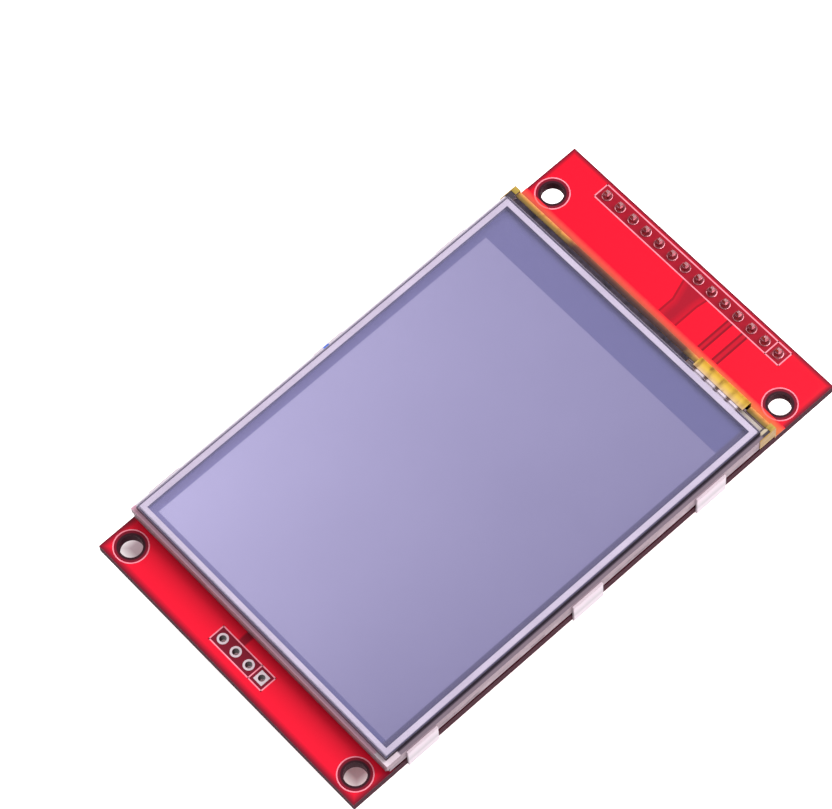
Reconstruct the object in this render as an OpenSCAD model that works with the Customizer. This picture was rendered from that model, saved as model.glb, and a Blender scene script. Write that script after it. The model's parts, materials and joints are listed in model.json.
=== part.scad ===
// Colour display module: a red carrier board, a pin header, a card socket and
// a liquid crystal display with a resistive touch panel on its front.
// Origin: centre of the four mounting holes, on the back face of the board.
// X runs across the board, +Y points to the pin header end, +Z out of the display.

/* [Board] */
// Board width
board_w = 50; // [48:0.5:60]
// Board length
board_l = 86; // [85:0.5:100]
// Board thickness
board_t = 1.6; // [0.8:0.1:2.4]
// Mounting hole diameter
hole_d = 3.2; // [2.5:0.1:3.6]
// Mounting hole centre to the long side
hole_side = 3; // [2.4:0.1:4]
// Mounting hole centre to the header end
hole_head = 7; // [6:0.1:7.2]
// Mounting hole centre to the card end
hole_card = 3; // [2.4:0.1:3.4]
// Copper and solder finish over the board surface
copper_t = 0.05; // [0.03:0.01:0.1]

/* [Pin header] */
// Number of header pins
header_n = 14; // [4:1:16]
// Pin pitch of the header and of the small row
pitch = 2.54; // [2.2:0.02:2.6]
// Header row centre to the header end of the board
header_edge = 1.9; // [1.6:0.1:2.4]
// Side of a square pin
pin_w = 0.64; // [0.5:0.02:0.7]
// Free pin length below the plastic bar
pin_back = 6; // [3:0.5:8]
// Pin length above the front face
pin_front = 1.4; // [1.2:0.1:2]
// Height of the plastic bar
bar_h = 2.5; // [1.5:0.1:3]
// Width of the plastic bar
bar_w = 2.5; // [2:0.1:2.8]
// Outer size of a plated pad
pad_d = 1.6; // [1.4:0.05:1.8]
// Hole through a plated pad
pad_hole = 1; // [0.95:0.01:1.1]
// Height of a solder fillet
solder_h = 0.8; // [0.5:0.05:1.1]

/* [Small row] */
// Number of holes in the small row at the card end
row_n = 4; // [2:1:6]
// Small row centre to the card end of the board
row_edge = 3.1; // [2.4:0.1:3.4]

/* [Display housing] */
// Long side of the housing, set in from the long side of the board
disp_side = 0; // [-2:0.1:2]
// Housing length
disp_l = 69.1; // [66:0.1:69.5]
// Header end of the board to the housing
disp_head = 10.95; // [10.6:0.05:11.4]
// Foam tape between the board and the housing
foam_t = 0.7; // [0.5:0.05:1.2]
// Width of each foam tape strip
foam_w = 5; // [3:0.5:8]
// Foam tape to the long side of the housing
foam_inset = 1.2; // [0.5:0.1:2]
// Foam tape to the card end of the housing
foam_end = 1; // [0.5:0.1:3]
// Sheet thickness of the steel tray
tray_t = 0.15; // [0.1:0.01:0.2]
// Wall height of the steel tray
tray_h = 0.95; // [0.85:0.05:1.2]
// Width of a latch window in the tray wall
window_w = 2.5; // [1.5:0.1:4]
// Height of a latch window in the tray wall
window_h = 0.4; // [0.3:0.05:0.45]
// Setback of the header end, where the flexes pass
recess = 0.45; // [0.4:0.05:0.6]
// Corner post of the plastic frame at the header end
post_w = 0.8; // [0.5:0.1:0.9]

/* [Backlight] */
// Reflector sheet thickness
reflector_t = 0.07; // [0.05:0.01:0.12]
// Light guide thickness
guide_t = 0.6; // [0.4:0.05:0.8]
// Diffuser sheet thickness
diffuser_t = 0.08; // [0.05:0.01:0.12]
// Prism sheet thickness
prism_t = 0.1; // [0.06:0.01:0.15]
// Rim tape thickness
rim_tape_t = 0.08; // [0.05:0.01:0.1]
// Ledge of the frame that carries the glass
ledge_w = 1; // [0.6:0.1:1.3]
// Number of light emitting diodes
led_n = 4; // [2:1:6]
// Diode width along the light bar
led_w = 3; // [2:0.1:3.5]
// Diode depth
led_d = 0.9; // [0.6:0.05:1]

/* [Glass] */
// Side wall of the housing beside the glass
wall = 1.1; // [1:0.05:1.15]
// Clearance round the glass
glass_gap = 0.1; // [0.05:0.01:0.15]
// Glass plate thickness
glass_t = 0.4; // [0.3:0.05:0.5]
// Polarizer thickness
pol_t = 0.12; // [0.08:0.01:0.15]
// Inset of a polarizer from its glass
pol_inset = 0.3; // [0.15:0.05:0.4]
// Header end of the housing to the array glass
array_head = 1.05; // [1:0.05:1.3]
// Width of the bare shelf on the array glass
shelf_w = 1.75; // [1.7:0.05:1.9]
// Driver chip length
chip_l = 20; // [12:0.5:22]
// Driver chip width
chip_w = 0.8; // [0.6:0.05:0.85]

/* [Touch panel] */
// Touch panel edge to the long side of the housing
touch_side = 0.65; // [0.5:0.05:1.1]
// Touch panel edge to the card end of the housing
touch_card = 0.45; // [0.3:0.05:0.8]
// Touch panel edge to the header end of the housing
touch_head = 2.05; // [1.9:0.05:2.3]
// Adhesive frame under the touch panel
panel_tape_t = 0.15; // [0.1:0.01:0.25]
// Touch glass thickness
touch_glass_t = 0.65; // [0.5:0.05:1.1]
// Spacer frame left over the tail, which is let into it
spacer_cover = 0.04; // [0.03:0.01:0.1]
// Top film thickness
film_t = 0.18; // [0.12:0.01:0.25]
// Inset of the spacer frame from the edge
spacer_inset = 0.25; // [0.15:0.01:0.4]
// Width of the spacer frame
spacer_w = 0.8; // [0.5:0.05:1]

/* [Flexes and tapes] */
// Gap between the display flex and the touch tail
flex_gap = 1.65; // [0.5:0.05:6]
// Display flex edge to the -X edge of the array glass
flex_side = 0.1; // [0.05:0.05:1]
// Flex thickness
flex_t = 0.12; // [0.08:0.01:0.14]
// Touch tail thickness
tail_t = 0.06; // [0.04:0.01:0.1]
// Touch tail width
tail_w = 8.9; // [6:0.1:9.2]
// Touch tail edge to the +X edge of the touch panel
tail_side = 4.1; // [3:0.1:4.6]
// Number of conductors on the touch tail
tail_n = 4; // [2:1:4]
// Conductor pitch on the touch tail
tail_pitch = 2.1; // [1.4:0.05:2.2]
// Adhesive film thickness
tape_t = 0.1; // [0.06:0.01:0.15]
// Foot of the amber tape on the board
tape_foot = 2; // [1:0.1:2.1]
// Amber tape flap round each corner
tape_flap = 2.8; // [1:0.1:4]
// Bare pads of the tail between the touch panel and the amber tape
tail_bare = 0.45; // [0.2:0.05:0.8]
// Width of a white side tape
side_tape_w = 5.2; // [3:0.1:6]
// Thickness of a side tape, a thin foam
side_tape_t = 0.3; // [0.1:0.05:0.35]
// Top of a side tape below the rim of the housing
side_tape_top = 0.5; // [0.2:0.05:0.8]
// Side tape fold under the board
side_tape_fold = 1; // [0.6:0.1:1.1]

/* [Card socket] */
// Socket width across the card
sock_w = 28; // [27:0.5:30]
// Socket depth along the card
sock_d = 27; // [24:0.5:30]
// Socket height from the board
sock_h = 2.9; // [2.8:0.05:3.4]
// Card slot width
slot_w = 24.3; // [24.1:0.05:24.6]
// Long side of the board to the socket mouth
sock_inset = 1.3; // [1.2:0.05:3]
// Socket centre to the card end of the board
sock_y = 27; // [24:0.5:30]
// Sheet thickness of the shell
shell_t = 0.2; // [0.15:0.01:0.3]
// Floor of the plastic base, on the board
base_t = 0.5; // [0.4:0.05:0.6]
// Contact pitch
contact_pitch = 2.5; // [2:0.05:2.6]
// Number of contacts
contact_n = 9; // [5:1:9]

/* [Hidden] */

$fn = 48;
eps = 0.01;           // overshoot of a cut past a face
bend_steps = 5;       // straight steps in one bend of a strip

// Board
hole_dx = board_w - 2 * hole_side;
hole_dy = board_l - hole_head - hole_card;
board_y1 = hole_dy / 2 + hole_head;
board_y0 = -hole_dy / 2 - hole_card;
front = board_t;
header_y = board_y1 - header_edge;
row_y = board_y0 + row_edge;
barrel_t = 0.05;      // plating inside a hole

// Pin header; the bar seats on the pads
bar_z = -copper_t;
pin_z0 = bar_z - bar_h - pin_back;
pin_z1 = front + pin_front;
pin_taper = 0.5;
bar_corner = 0.45;    // 45 degree cut at each corner of a bar cell
fillet_lip = 0.05;    // bare edge of a pad round its solder
fillet_neck = 0.03;   // solder beyond a pin's corners at its top
fillet_step = 15;     // degrees between the points of a fillet

// Display outline and levels, from the board up
disp_w = board_w - 2 * disp_side;
spacer_t = tail_t + spacer_cover;
disp_y1 = board_y1 - disp_head;
disp_y0 = disp_y1 - disp_l;
tray_y1 = disp_y1 - recess;
z_tray = front + foam_t;
z_reflector = z_tray + tray_t;
z_guide = z_reflector + reflector_t;
z_diffuser = z_guide + guide_t;
z_prism1 = z_diffuser + diffuser_t;
z_prism2 = z_prism1 + prism_t;
z_rim = z_prism2 + prism_t;
z_pol1 = z_rim + rim_tape_t;
z_array = z_pol1 + pol_t;
z_colour = z_array + glass_t;
z_pol2 = z_colour + glass_t;
z_top_rim = z_pol2 + pol_t;
z_touch = z_top_rim + panel_tape_t;
z_spacer = z_touch + touch_glass_t;
z_film = z_spacer + spacer_t;

// Housing
window_z = z_tray + 0.35;    // lower edge of the latch windows
window_at = [12.8, 26.3, 44.8];    // latch windows from the card end
frame_slack = 0.03;          // between the frame and the tray walls
lug_slack = 0.05;            // between a latch and its window
relief_d = 0.8;              // relief slots at the corners of the tray
sill_cut = 0.25;             // rim cut back behind the flexes
foam_clear = 3;              // foam tape to the end of the display flex

// Glass and sheets
cell_w = disp_w - 2 * wall - 2 * glass_gap;
cell_y0 = disp_y0 + wall + glass_gap;
array_y1 = disp_y1 - array_head;
colour_y1 = array_y1 - shelf_w;
sheet_w = cell_w - 2 * ledge_w;
sheet_y0 = cell_y0 + ledge_w;
led_y1 = array_y1;
guide_y1 = led_y1 - led_d - glass_gap;
led_h = guide_t - tape_t;
guide_bevel = 0.1;    // bevel of the light guide at its far end
rim_tape_over = 0.6;  // rim tape beyond the frame's ledge
rim_tape_head = 3.75; // rim tape at the header end
led_pitch = sheet_w / led_n;

// Touch panel
touch_w = disp_w - 2 * touch_side;
touch_y0 = disp_y0 + touch_card;
touch_y1 = disp_y1 - touch_head;
panel_tape_in = 0.3;  // adhesive frame from the panel's edge
panel_tape_w = 0.75;
film_r = 0.4;         // corners of the film

// Flexes
strip_gap = 0.06;     // air beside a strip that passes a wall
bond_w = 0.6;         // overlap of the flex on the array glass
bend_r = 0.25;        // centreline radius of a strip's bend
chip_t = 0.3;         // driver chip thickness
chip_y1 = colour_y1 + (shelf_w - bond_w + chip_w) / 2;
tail_x = touch_w / 2 - tail_side - tail_w / 2;
flex_x0 = flex_side - cell_w / 2;
flex_x1 = tail_x - tail_w / 2 - flex_gap;
flex_w = flex_x1 - flex_x0;
flex_x = (flex_x0 + flex_x1) / 2;
flex_y = tray_y1 + strip_gap + flex_t / 2;
flex_run = 8;         // length of the flex under the housing
joint_pitch = 1;      // joints of the display flex on the board
joint_w = 0.55;
joint_l = 1.2;
joint_margin = 3;     // bare flex beside the joints
joint_n = floor((flex_w - 2 * joint_margin) / joint_pitch);

// Touch tail, between the panel's glass and the spacer frame
tail_z = z_spacer + tail_t / 2;
tail_y = disp_y1 - strip_gap - tail_t / 2;
tail_grip = spacer_inset + spacer_w;
tail_run = 6;         // length of the tail under the housing
tail_bend_r = 0.45;
conductor_w = 1.2;
conductor_t = 0.03;
conductor_end = 0.5;  // before the tail's bend

// Amber tape: a strip over the display flex, a raised part over the tail and a cap on each
// corner post, all down the same wall to one foot on the board
tape_over = 0.8;      // on top of what it covers
tape_r = 0.12;        // its folds
amber_z = z_colour + flex_t + tape_t / 2;
amber_y = disp_y1 + tape_t / 2;
amber_foot_z = front + tape_t / 2;
post_slit = 0.1;      // strip to the corner posts
tail_slit = 0.2;      // strip to the tail
hood_gap = 0.02;      // air over the tail's conductors
hood_z = z_spacer + tail_t + conductor_t + hood_gap + tape_t / 2;
hood_r = 0.3;
shelf_tape_y1 = disp_y1 - tape_over - strip_gap;
shelf_tape_lap = 0.35;    // black tape's step before the end of the glass
shelf_tape_r = 0.15;

// Side tapes, from the card end of the housing
side_tape_at = [5.95, 35.05, 57.25];
side_gap = 0.02;      // glue line under a side tape
side_off = side_gap + side_tape_t / 2;

// Card socket, mouth on the -X side
sock_x = -board_w / 2 + sock_inset;
sock_cy = board_y0 + sock_y;
sock_wall = (sock_w - 2 * shell_t - slot_w) / 2;
back_wall = 2.2;      // plastic that holds the contacts
slot_z1 = -base_t;    // card slot, board side
slot_z0 = -sock_h + shell_t;    // card slot, shell side
base_d = sock_d - shell_t;
rail_x = 1.5;         // rails start behind the mouth
lead_in = 0.4;        // bevel at the front of the floor
floor_rim = 3;        // floor left round its two windows
floor_window_w = 8;
floor_rib = 4;        // floor left between them

// Socket contacts, from the back of the base
contact_w = 0.9;
contact_t = 0.18;
contact_reach = 9;    // to a contact's tip
contact_tail = 1.1;   // solder tail behind the base
contact_foot = 1.2;   // straight foot in the back wall
contact_fall = 1.2;   // slope out of the foot
contact_crown = 1.4;  // crown before the tip
contact_z = 0.35;     // drop of the arm where it leaves the back wall
crown_z = 1.05;
tip_z = 0.55;
contact_r = 0.3;
slit_side = 0.15;     // slit beside a contact
slit_end = 0.15;      // slit past its tip
slit_h = 1.3;

// Socket shell: feet, mouth notch, sprung tongues and windows
foot_l = 2.4;
foot_w = 1.2;
foot_in = 2.2;        // feet from the mouth and from the back
notch_r = 7;
notch_out = 2.5;      // centre of the notch in front of the mouth
tongue_l = 6;
tongue_w = 3.2;
tongue_cut = 0.5;     // slot round three sides of a tongue
tongue_in = 9;
tongue_pitch = 7.5;
view_l = 3;           // windows over the contacts
view_w = 6.8;
view_pitch = 11.2;
view_in = 7.5;
catch_l = 2.6;        // windows in the flanges
catch_h = 0.8;
catch_z = 0.9;
catch_in = 7;
catch_pitch = 9;

// Small parts on the back, placed from the header end of the board
ic_clear = copper_t;  // a body stands a little off the board
ic_h = 1;
ic_draft = 0.08;
lead_shoulder = 0.35; // shares of a lead's reach where it turns down and meets its foot
lead_knee = 0.5;
controller_l = 5;
controller_w = 4.4;
controller_n = 8;     // leads on a side
controller_pitch = 0.65;
controller_reach = 1;
controller_lead_w = 0.22;
controller_lead_t = 0.15;
controller_x = 13;
controller_head = 21;
dimple_d = 0.7;
dimple_in = 0.6;
dimple_h = 0.1;
sot_l = 2.9;
sot_w = 1.3;
sot_pitch = 1.9;
sot_reach = 0.55;
sot_lead_w = 0.4;
sot_lead_t = 0.12;
sot_head = 12;
regulator_x = -16;
transistor_x = -8;
chip_len = 1.6;
chip_wid = 0.8;
end_len = 0.3;
resistor_h = 0.45;
capacitor_h = 0.8;
part_dx = 4;          // pitches within a group of chip parts
part_dy = 2;
resistor_x = 6;
resistor_head = 9;
resistor_next = 21;   // second group, towards the card end
capacitor_x = -17;
capacitor_head = 16.5;
capacitor_next = 12;  // second group, towards +X

// ---- Helpers ----------------------------------------------------------

function unit(v) = v / norm(v);
function turn(v, a) = [v[0] * cos(a) - v[1] * sin(a), v[0] * sin(a) + v[1] * cos(a)];

// Points of a round bend at corner b of the path a-b-c, or the corner where the path is straight
function bend(a, b, c, r) =
    let (u = unit(a - b), w = unit(c - b), gap = acos(max(-1, min(1, u * w))))
    gap > 179 ? [b] :
    let (centre = b + unit(u + w) * r / sin(gap / 2),
         start = b + u * r / tan(gap / 2) - centre,
         way = cross(u, w) > 0 ? -1 : 1)
    [for (i = [0 : bend_steps]) centre + turn(start, way * (180 - gap) * i / bend_steps)];

function rounded_path(p, r) = concat([p[0]],
    [for (i = [1 : len(p) - 2]) each bend(p[i - 1], p[i], p[i + 1], r)], [p[len(p) - 1]]);

// One side of a path, shifted across its direction
function shifted(p, d) = [for (i = [0 : len(p) - 1])
    let (a = p[max(i - 1, 0)], c = p[min(i + 1, len(p) - 1)]) p[i] + d * turn(unit(c - a), 90)];

function backwards(p) = [for (i = [len(p) - 1 : -1 : 0]) p[i]];

// Section of a bent strip of thickness t along a path
module strip_section(path, t, r = bend_r) {
    line = rounded_path(path, r);
    polygon(concat(shifted(line, t / 2), backwards(shifted(line, -t / 2))));
}

// A bent strip whose path lies in the YZ plane, w wide and centred on x
module strip_yz(path, t, w, x = 0, r = bend_r)
    translate([x - w / 2, 0, 0]) rotate([90, 0, 90]) linear_extrude(w) strip_section(path, t, r);

// A bent strip whose path lies in the XZ plane, w wide and centred on y
module strip_xz(path, t, w, y = 0, r = bend_r)
    translate([0, y + w / 2, 0]) rotate([90, 0, 0]) linear_extrude(w) strip_section(path, t, r);

// A plate centred on X between two Y values
module plate(w, y0, y1, z, t)
    translate([-w / 2, y0, z]) cube([w, y1 - y0, t]);

// A plate with rounded corners
module round_plate(w, y0, y1, z, t, r)
    translate([0, 0, z]) linear_extrude(t) round_rect(w, y0, y1, r);

module round_rect(w, y0, y1, r) {
    translate([-w / 2 + r, y0]) square([w - 2 * r, y1 - y0]);
    translate([-w / 2, y0 + r]) square([w, y1 - y0 - 2 * r]);
    for (x = [-w / 2 + r, w / 2 - r], y = [y0 + r, y1 - r]) translate([x, y]) circle(r);
}

// A flat frame: a plate with a window
module flat_frame(w, y0, y1, z, t, side, end0, end1)
    difference() {
        plate(w, y0, y1, z, t);
        plate(w - 2 * side, y0 + end0, y1 - end1, z - eps, t + 2 * eps);
    }

// Copies along X at one pitch, centred
module in_row(n, p)
    for (i = [0 : n - 1]) translate([(i - (n - 1) / 2) * p, 0, 0]) children();

// ---- Board ------------------------------------------------------------

module board() color("crimson")
    difference() {
        plate(board_w, board_y0, board_y1, 0, board_t);
        for (x = [-1, 1], y = [-1, 1])
            translate([x * hole_dx / 2, y * hole_dy / 2, -eps])
                cylinder(d = hole_d, h = board_t + 2 * eps);
        translate([0, header_y, 0]) in_row(header_n, pitch) plating_hole();
        translate([0, row_y, 0]) in_row(row_n, pitch) plating_hole();
    }

module plating_hole()
    translate([0, 0, -eps]) cylinder(d = pad_hole + 2 * barrel_t, h = board_t + 2 * eps);

// A plated hole with a pad on both faces; the first of a row is square
module plated_pad(is_square)
    difference() {
        union() {
            cylinder(d = pad_hole + 2 * barrel_t, h = board_t);
            for (z = [-copper_t, board_t]) translate([0, 0, z])
                if (is_square) translate([-pad_d / 2, -pad_d / 2, 0]) cube([pad_d, pad_d, copper_t]);
                else cylinder(d = pad_d, h = copper_t);
        }
        translate([0, 0, -copper_t - eps]) cylinder(d = pad_hole, h = board_t + 2 * copper_t + 2 * eps);
    }

module pad_row(n, y)
    for (i = [0 : n - 1]) translate([(i - (n - 1) / 2) * pitch, y, 0]) plated_pad(i == n - 1);

module row_pads() color("silver") pad_row(row_n, row_y);

module header_pads() color("silver") pad_row(header_n, header_y);

// ---- Pin header -------------------------------------------------------

module pin_section()
    polygon([[-pin_w / 4, pin_z0], [pin_w / 4, pin_z0], [pin_w / 2, pin_z0 + pin_taper],
        [pin_w / 2, pin_z1 - pin_taper / 2], [pin_w / 4, pin_z1],
        [-pin_w / 4, pin_z1], [-pin_w / 2, pin_z1 - pin_taper / 2], [-pin_w / 2, pin_z0 + pin_taper]]);

// A square pin with pointed ends: the same outline seen from two sides
module pin()
    intersection() {
        rotate([90, 0, 0]) linear_extrude(pin_w, center = true) pin_section();
        rotate([90, 0, 90]) linear_extrude(pin_w, center = true) pin_section();
    }

module header_pins() color("gold") translate([0, header_y, 0]) in_row(header_n, pitch) pin();

// One cell of the bar, with its corners cut at 45 degrees
module bar_cell() {
    x = pitch / 2;
    y = bar_w / 2;
    c = bar_corner;
    polygon([[-x, c - y], [c - x, -y], [x - c, -y], [x, c - y],
        [x, y - c], [x - c, y], [c - x, y], [-x, y - c]]);
}

module header_bar() color("black")
    translate([0, header_y, bar_z - bar_h]) linear_extrude(bar_h)
        difference() {
            in_row(header_n, pitch) bar_cell();
            in_row(header_n, pitch) square(pin_w, center = true);
        }

// A concave fillet from the pad up to the pin
module solder_fillet() {
    foot = pad_d / 2 - fillet_lip;
    neck = norm([pin_w, pin_w]) / 2 + fillet_neck;
    difference() {
        translate([0, 0, front + copper_t]) rotate_extrude()
            polygon(concat([[0, 0]],
                [for (a = [0 : fillet_step : 90]) [foot - (foot - neck) * sin(a), solder_h * (1 - cos(a))]],
                [[0, solder_h]]));
        translate([-pin_w / 2, -pin_w / 2, front]) cube([pin_w, pin_w, solder_h + board_t]);
    }
}

module header_solder() color("gray") translate([0, header_y, 0]) in_row(header_n, pitch) solder_fillet();

// ---- Card socket ------------------------------------------------------

// Everything here is drawn with the mouth at x = 0, the card going in along +X, and the
// board at z = 0 with the socket below it
module at_socket() translate([sock_x, sock_cy, 0]) children();

module socket_base() color("ivory") at_socket()
    difference() {
        union() {
            translate([rail_x, -slot_w / 2 - sock_wall, slot_z1])
                cube([base_d - rail_x, slot_w + 2 * sock_wall, base_t]);
            for (s = [-1, 1]) translate([rail_x, s * (slot_w + sock_wall) / 2 - sock_wall / 2, slot_z0])
                cube([base_d - rail_x, sock_wall, -slot_z0]);
            translate([base_d - back_wall, -slot_w / 2 - eps, slot_z0])
                cube([back_wall, slot_w + 2 * eps, -slot_z0]);
        }
        translate([rail_x - eps, 0, slot_z1]) rotate([0, 45, 0])
            cube([lead_in, slot_w, lead_in], center = true);
        each_contact() translate([base_d - contact_reach - slit_end, -contact_w / 2 - slit_side, -slit_h])
            cube([contact_reach + slit_end + eps, contact_w + 2 * slit_side, slit_h + eps]);
        // windows in the floor
        for (s = [-1, 1]) translate([rail_x + floor_rim, s * (floor_rib + floor_window_w) / 2
            - floor_window_w / 2, slot_z1 - eps])
            cube([base_d - contact_reach - rail_x - 2 * floor_rim, floor_window_w, base_t + 2 * eps]);
    }

module each_contact()
    for (i = [0 : contact_n - 1]) translate([0, (i - (contact_n - 1) / 2) * contact_pitch, 0]) children();

// A spring contact: solder tail, foot in the back wall, sprung arm with a crown near its tip
module socket_contacts() color("gold") at_socket()
    each_contact()
        strip_xz([[base_d + contact_tail, -contact_t / 2], [base_d - contact_foot, -contact_t / 2],
            [base_d - contact_foot - contact_fall, -contact_z],
            [base_d - contact_reach + contact_crown, -crown_z],
            [base_d - contact_reach, -tip_z]], contact_t, contact_w, 0, contact_r);

module socket_shell() color("silver") at_socket()
    difference() {
        union() {
            translate([0, -sock_w / 2, -sock_h]) cube([sock_d, sock_w, shell_t]);
            for (s = [-1, 1]) translate([0, s * (sock_w - shell_t) / 2 - shell_t / 2, -sock_h])
                cube([sock_d, shell_t, sock_h]);
            translate([sock_d - shell_t, -sock_w / 2, -sock_h]) cube([shell_t, sock_w, sock_h - base_t]);
            // solder feet
            for (s = [-1, 1], x = [foot_in, sock_d - foot_in - foot_l])
                translate([x, s * (sock_w + foot_w) / 2 - foot_w / 2 - eps, -shell_t])
                    cube([foot_l, foot_w + 2 * eps, shell_t]);
        }
        // finger notch in the mouth
        translate([-notch_out, 0, -sock_h - eps]) cylinder(r = notch_r, h = shell_t + 2 * eps);
        // sprung tongues, each cut free on three sides
        for (s = [-1, 0, 1]) translate([tongue_in, s * tongue_pitch, -sock_h - eps])
            linear_extrude(shell_t + 2 * eps) difference() {
                translate([0, -tongue_w / 2]) square([tongue_l, tongue_w]);
                translate([-eps, tongue_cut - tongue_w / 2])
                    square([tongue_l - tongue_cut, tongue_w - 2 * tongue_cut]);
            }
        // windows over the contacts
        for (s = [-1, 1]) translate([sock_d - view_in, (s * view_pitch - view_w) / 2, -sock_h - eps])
            cube([view_l, view_w, shell_t + 2 * eps]);
        // latch windows in the side flanges
        for (s = [-1, 1], x = [catch_in, catch_in + catch_pitch])
            translate([x, s * sock_w / 2 - shell_t - eps, -sock_h + catch_z])
                cube([catch_l, 2 * shell_t + 2 * eps, catch_h]);
    }

// ---- Small parts on the back -----------------------------------------

// Gull-wing leads on two sides of a body: n on -Y, m on +Y
module gull_leads(n, m, p, body_w, body_h, reach, w, t) {
    mirror([0, 1, 0]) in_row(n, p) gull_lead(body_w, body_h, reach, w, t);
    in_row(m, p) gull_lead(body_w, body_h, reach, w, t);
}

module gull_lead(body_w, body_h, reach, w, t) {
    y = body_w / 2;
    z = -body_h / 2 - ic_clear;
    strip_yz([[y, z], [y + reach * lead_shoulder, z], [y + reach * lead_knee, -t / 2], [y + reach, -t / 2]],
        t, w, 0, t);
}

// A moulded body with drafted sides, hanging below the board
module ic_body(l, w, h)
    rotate([90, 0, 90]) linear_extrude(l, center = true)
        polygon([[-w / 2 + ic_draft, -ic_clear], [w / 2 - ic_draft, -ic_clear], [w / 2, -ic_clear - h / 2],
            [w / 2 - ic_draft, -ic_clear - h], [-w / 2 + ic_draft, -ic_clear - h],
            [-w / 2, -ic_clear - h / 2]]);

module at_controller() translate([controller_x, board_y1 - controller_head, 0]) children();

module touch_controller() color("dimgray") at_controller()
    difference() {
        ic_body(controller_l, controller_w, ic_h);
        translate([dimple_in - controller_l / 2, dimple_in - controller_w / 2, -ic_clear - ic_h - eps])
            cylinder(d = dimple_d, h = dimple_h + eps);
    }

module touch_controller_leads() color("silver") at_controller()
    gull_leads(controller_n, controller_n, controller_pitch, controller_w, ic_h, controller_reach,
        controller_lead_w, controller_lead_t);

module sot_body(x) translate([x, board_y1 - sot_head, 0]) ic_body(sot_l, sot_w, ic_h);
module sot_leads(x) translate([x, board_y1 - sot_head, 0])
    gull_leads(1, 2, sot_pitch, sot_w, ic_h, sot_reach, sot_lead_w, sot_lead_t);

module regulator() color("dimgray") sot_body(regulator_x);
module regulator_leads() color("silver") sot_leads(regulator_x);

module backlight_transistor() color("dimgray") sot_body(transistor_x);
module transistor_leads() color("silver") sot_leads(transistor_x);

// Two rows of chip parts
module part_group(columns, x, y)
    for (s = [-1, 1]) translate([x, y + s * part_dy / 2, 0]) in_row(columns, part_dx) children();

module each_resistor()
    for (y = [resistor_head, resistor_head + resistor_next])
        part_group(3, resistor_x, board_y1 - y) children();

module each_capacitor()
    for (x = [capacitor_x, capacitor_x + capacitor_next])
        part_group(2, x, board_y1 - capacitor_head) children();

module chip_body(h) translate([-chip_len / 2 + end_len, -chip_wid / 2, -h])
    cube([chip_len - 2 * end_len, chip_wid, h]);
module chip_ends(h) for (s = [-1, 1])
    translate([s * (chip_len - end_len) / 2 - end_len / 2, -chip_wid / 2, -h]) cube([end_len, chip_wid, h]);

module resistors() color("black") each_resistor() chip_body(resistor_h);
module resistor_ends() color("silver") each_resistor() chip_ends(resistor_h);
module capacitors() color("tan") each_capacitor() chip_body(capacitor_h);
module capacitor_ends() color("silver") each_capacitor() chip_ends(capacitor_h);

// ---- Display housing and backlight -----------------------------------

module foam_tape() color("white")
    for (s = [-1, 1]) translate([s * (disp_w / 2 - foam_inset - foam_w / 2), 0, 0])
        plate(foam_w, disp_y0 + foam_end, disp_y1 - flex_run - foam_clear, front, foam_t);

module steel_tray() color("silver")
    difference() {
        plate(disp_w, disp_y0, tray_y1, z_tray, tray_h);
        plate(disp_w - 2 * tray_t, disp_y0 + tray_t, tray_y1 - tray_t, z_reflector, tray_h);
        for (y = window_at) plate(disp_w + 2 * eps, disp_y0 + y - window_w / 2, disp_y0 + y + window_w / 2,
            window_z, window_h);
        for (x = [-1, 1], y = [disp_y0, tray_y1]) translate([x * disp_w / 2, y, z_tray - eps])
            cylinder(d = relief_d, h = tray_h + 2 * eps);
    }

// A wedge on the frame's side that snaps into a window of the tray
module latch_lug(y)
    translate([disp_w / 2 - tray_t - frame_slack - eps, y + window_w / 2 - lug_slack, window_z + lug_slack])
        rotate([90, 0, 0]) linear_extrude(window_w - 2 * lug_slack)
            polygon([[0, 0], [tray_t + frame_slack, window_h / 3],
                [tray_t + frame_slack, window_h - 2 * lug_slack], [0, window_h - 2 * lug_slack]]);

module light_frame() color("white")
    difference() {
        union() {
            plate(disp_w - 2 * tray_t - 2 * frame_slack, disp_y0 + tray_t + frame_slack,
                tray_y1 - tray_t - frame_slack, z_reflector, z_colour - z_reflector);
            // the rim rests on the tray walls and closes three sides
            difference() {
                plate(disp_w, disp_y0, disp_y1, z_tray + tray_h, z_top_rim - z_tray - tray_h);
                plate(disp_w - 2 * post_w, array_y1, disp_y1 + eps, z_colour, z_top_rim);
                plate(disp_w - 2 * post_w, tray_y1 - sill_cut, disp_y1 + eps, z_tray, z_top_rim);
            }
            for (s = [0, 1], y = window_at) mirror([s, 0, 0]) latch_lug(disp_y0 + y);
            // corner posts beside the flexes
            for (s = [-1, 1]) translate([s * (disp_w - post_w) / 2, 0, 0])
                plate(post_w, tray_y1, disp_y1, z_tray, z_top_rim - z_tray);
        }
        // pocket for the glass
        plate(cell_w + 2 * glass_gap, cell_y0 - glass_gap, array_y1 + glass_gap, z_rim, z_top_rim);
        // pocket for the light guide and sheets, and for the diodes
        plate(sheet_w + 2 * glass_gap, sheet_y0 - glass_gap, guide_y1 + glass_gap / 2,
            z_reflector - eps, z_rim - z_reflector + 2 * eps);
        in_row(led_n, led_pitch) plate(led_w + 2 * glass_gap, guide_y1, led_y1 + glass_gap / 2,
            z_reflector - eps, z_rim - z_reflector + 2 * eps);
        // groove for the light bar's flex
        plate(sheet_w + 2 * glass_gap, guide_y1, led_y1 + glass_gap / 2,
            z_guide + led_h, z_rim - z_guide - led_h + eps);
    }

module reflector() color("white") plate(sheet_w, sheet_y0, guide_y1, z_reflector, reflector_t);

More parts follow.
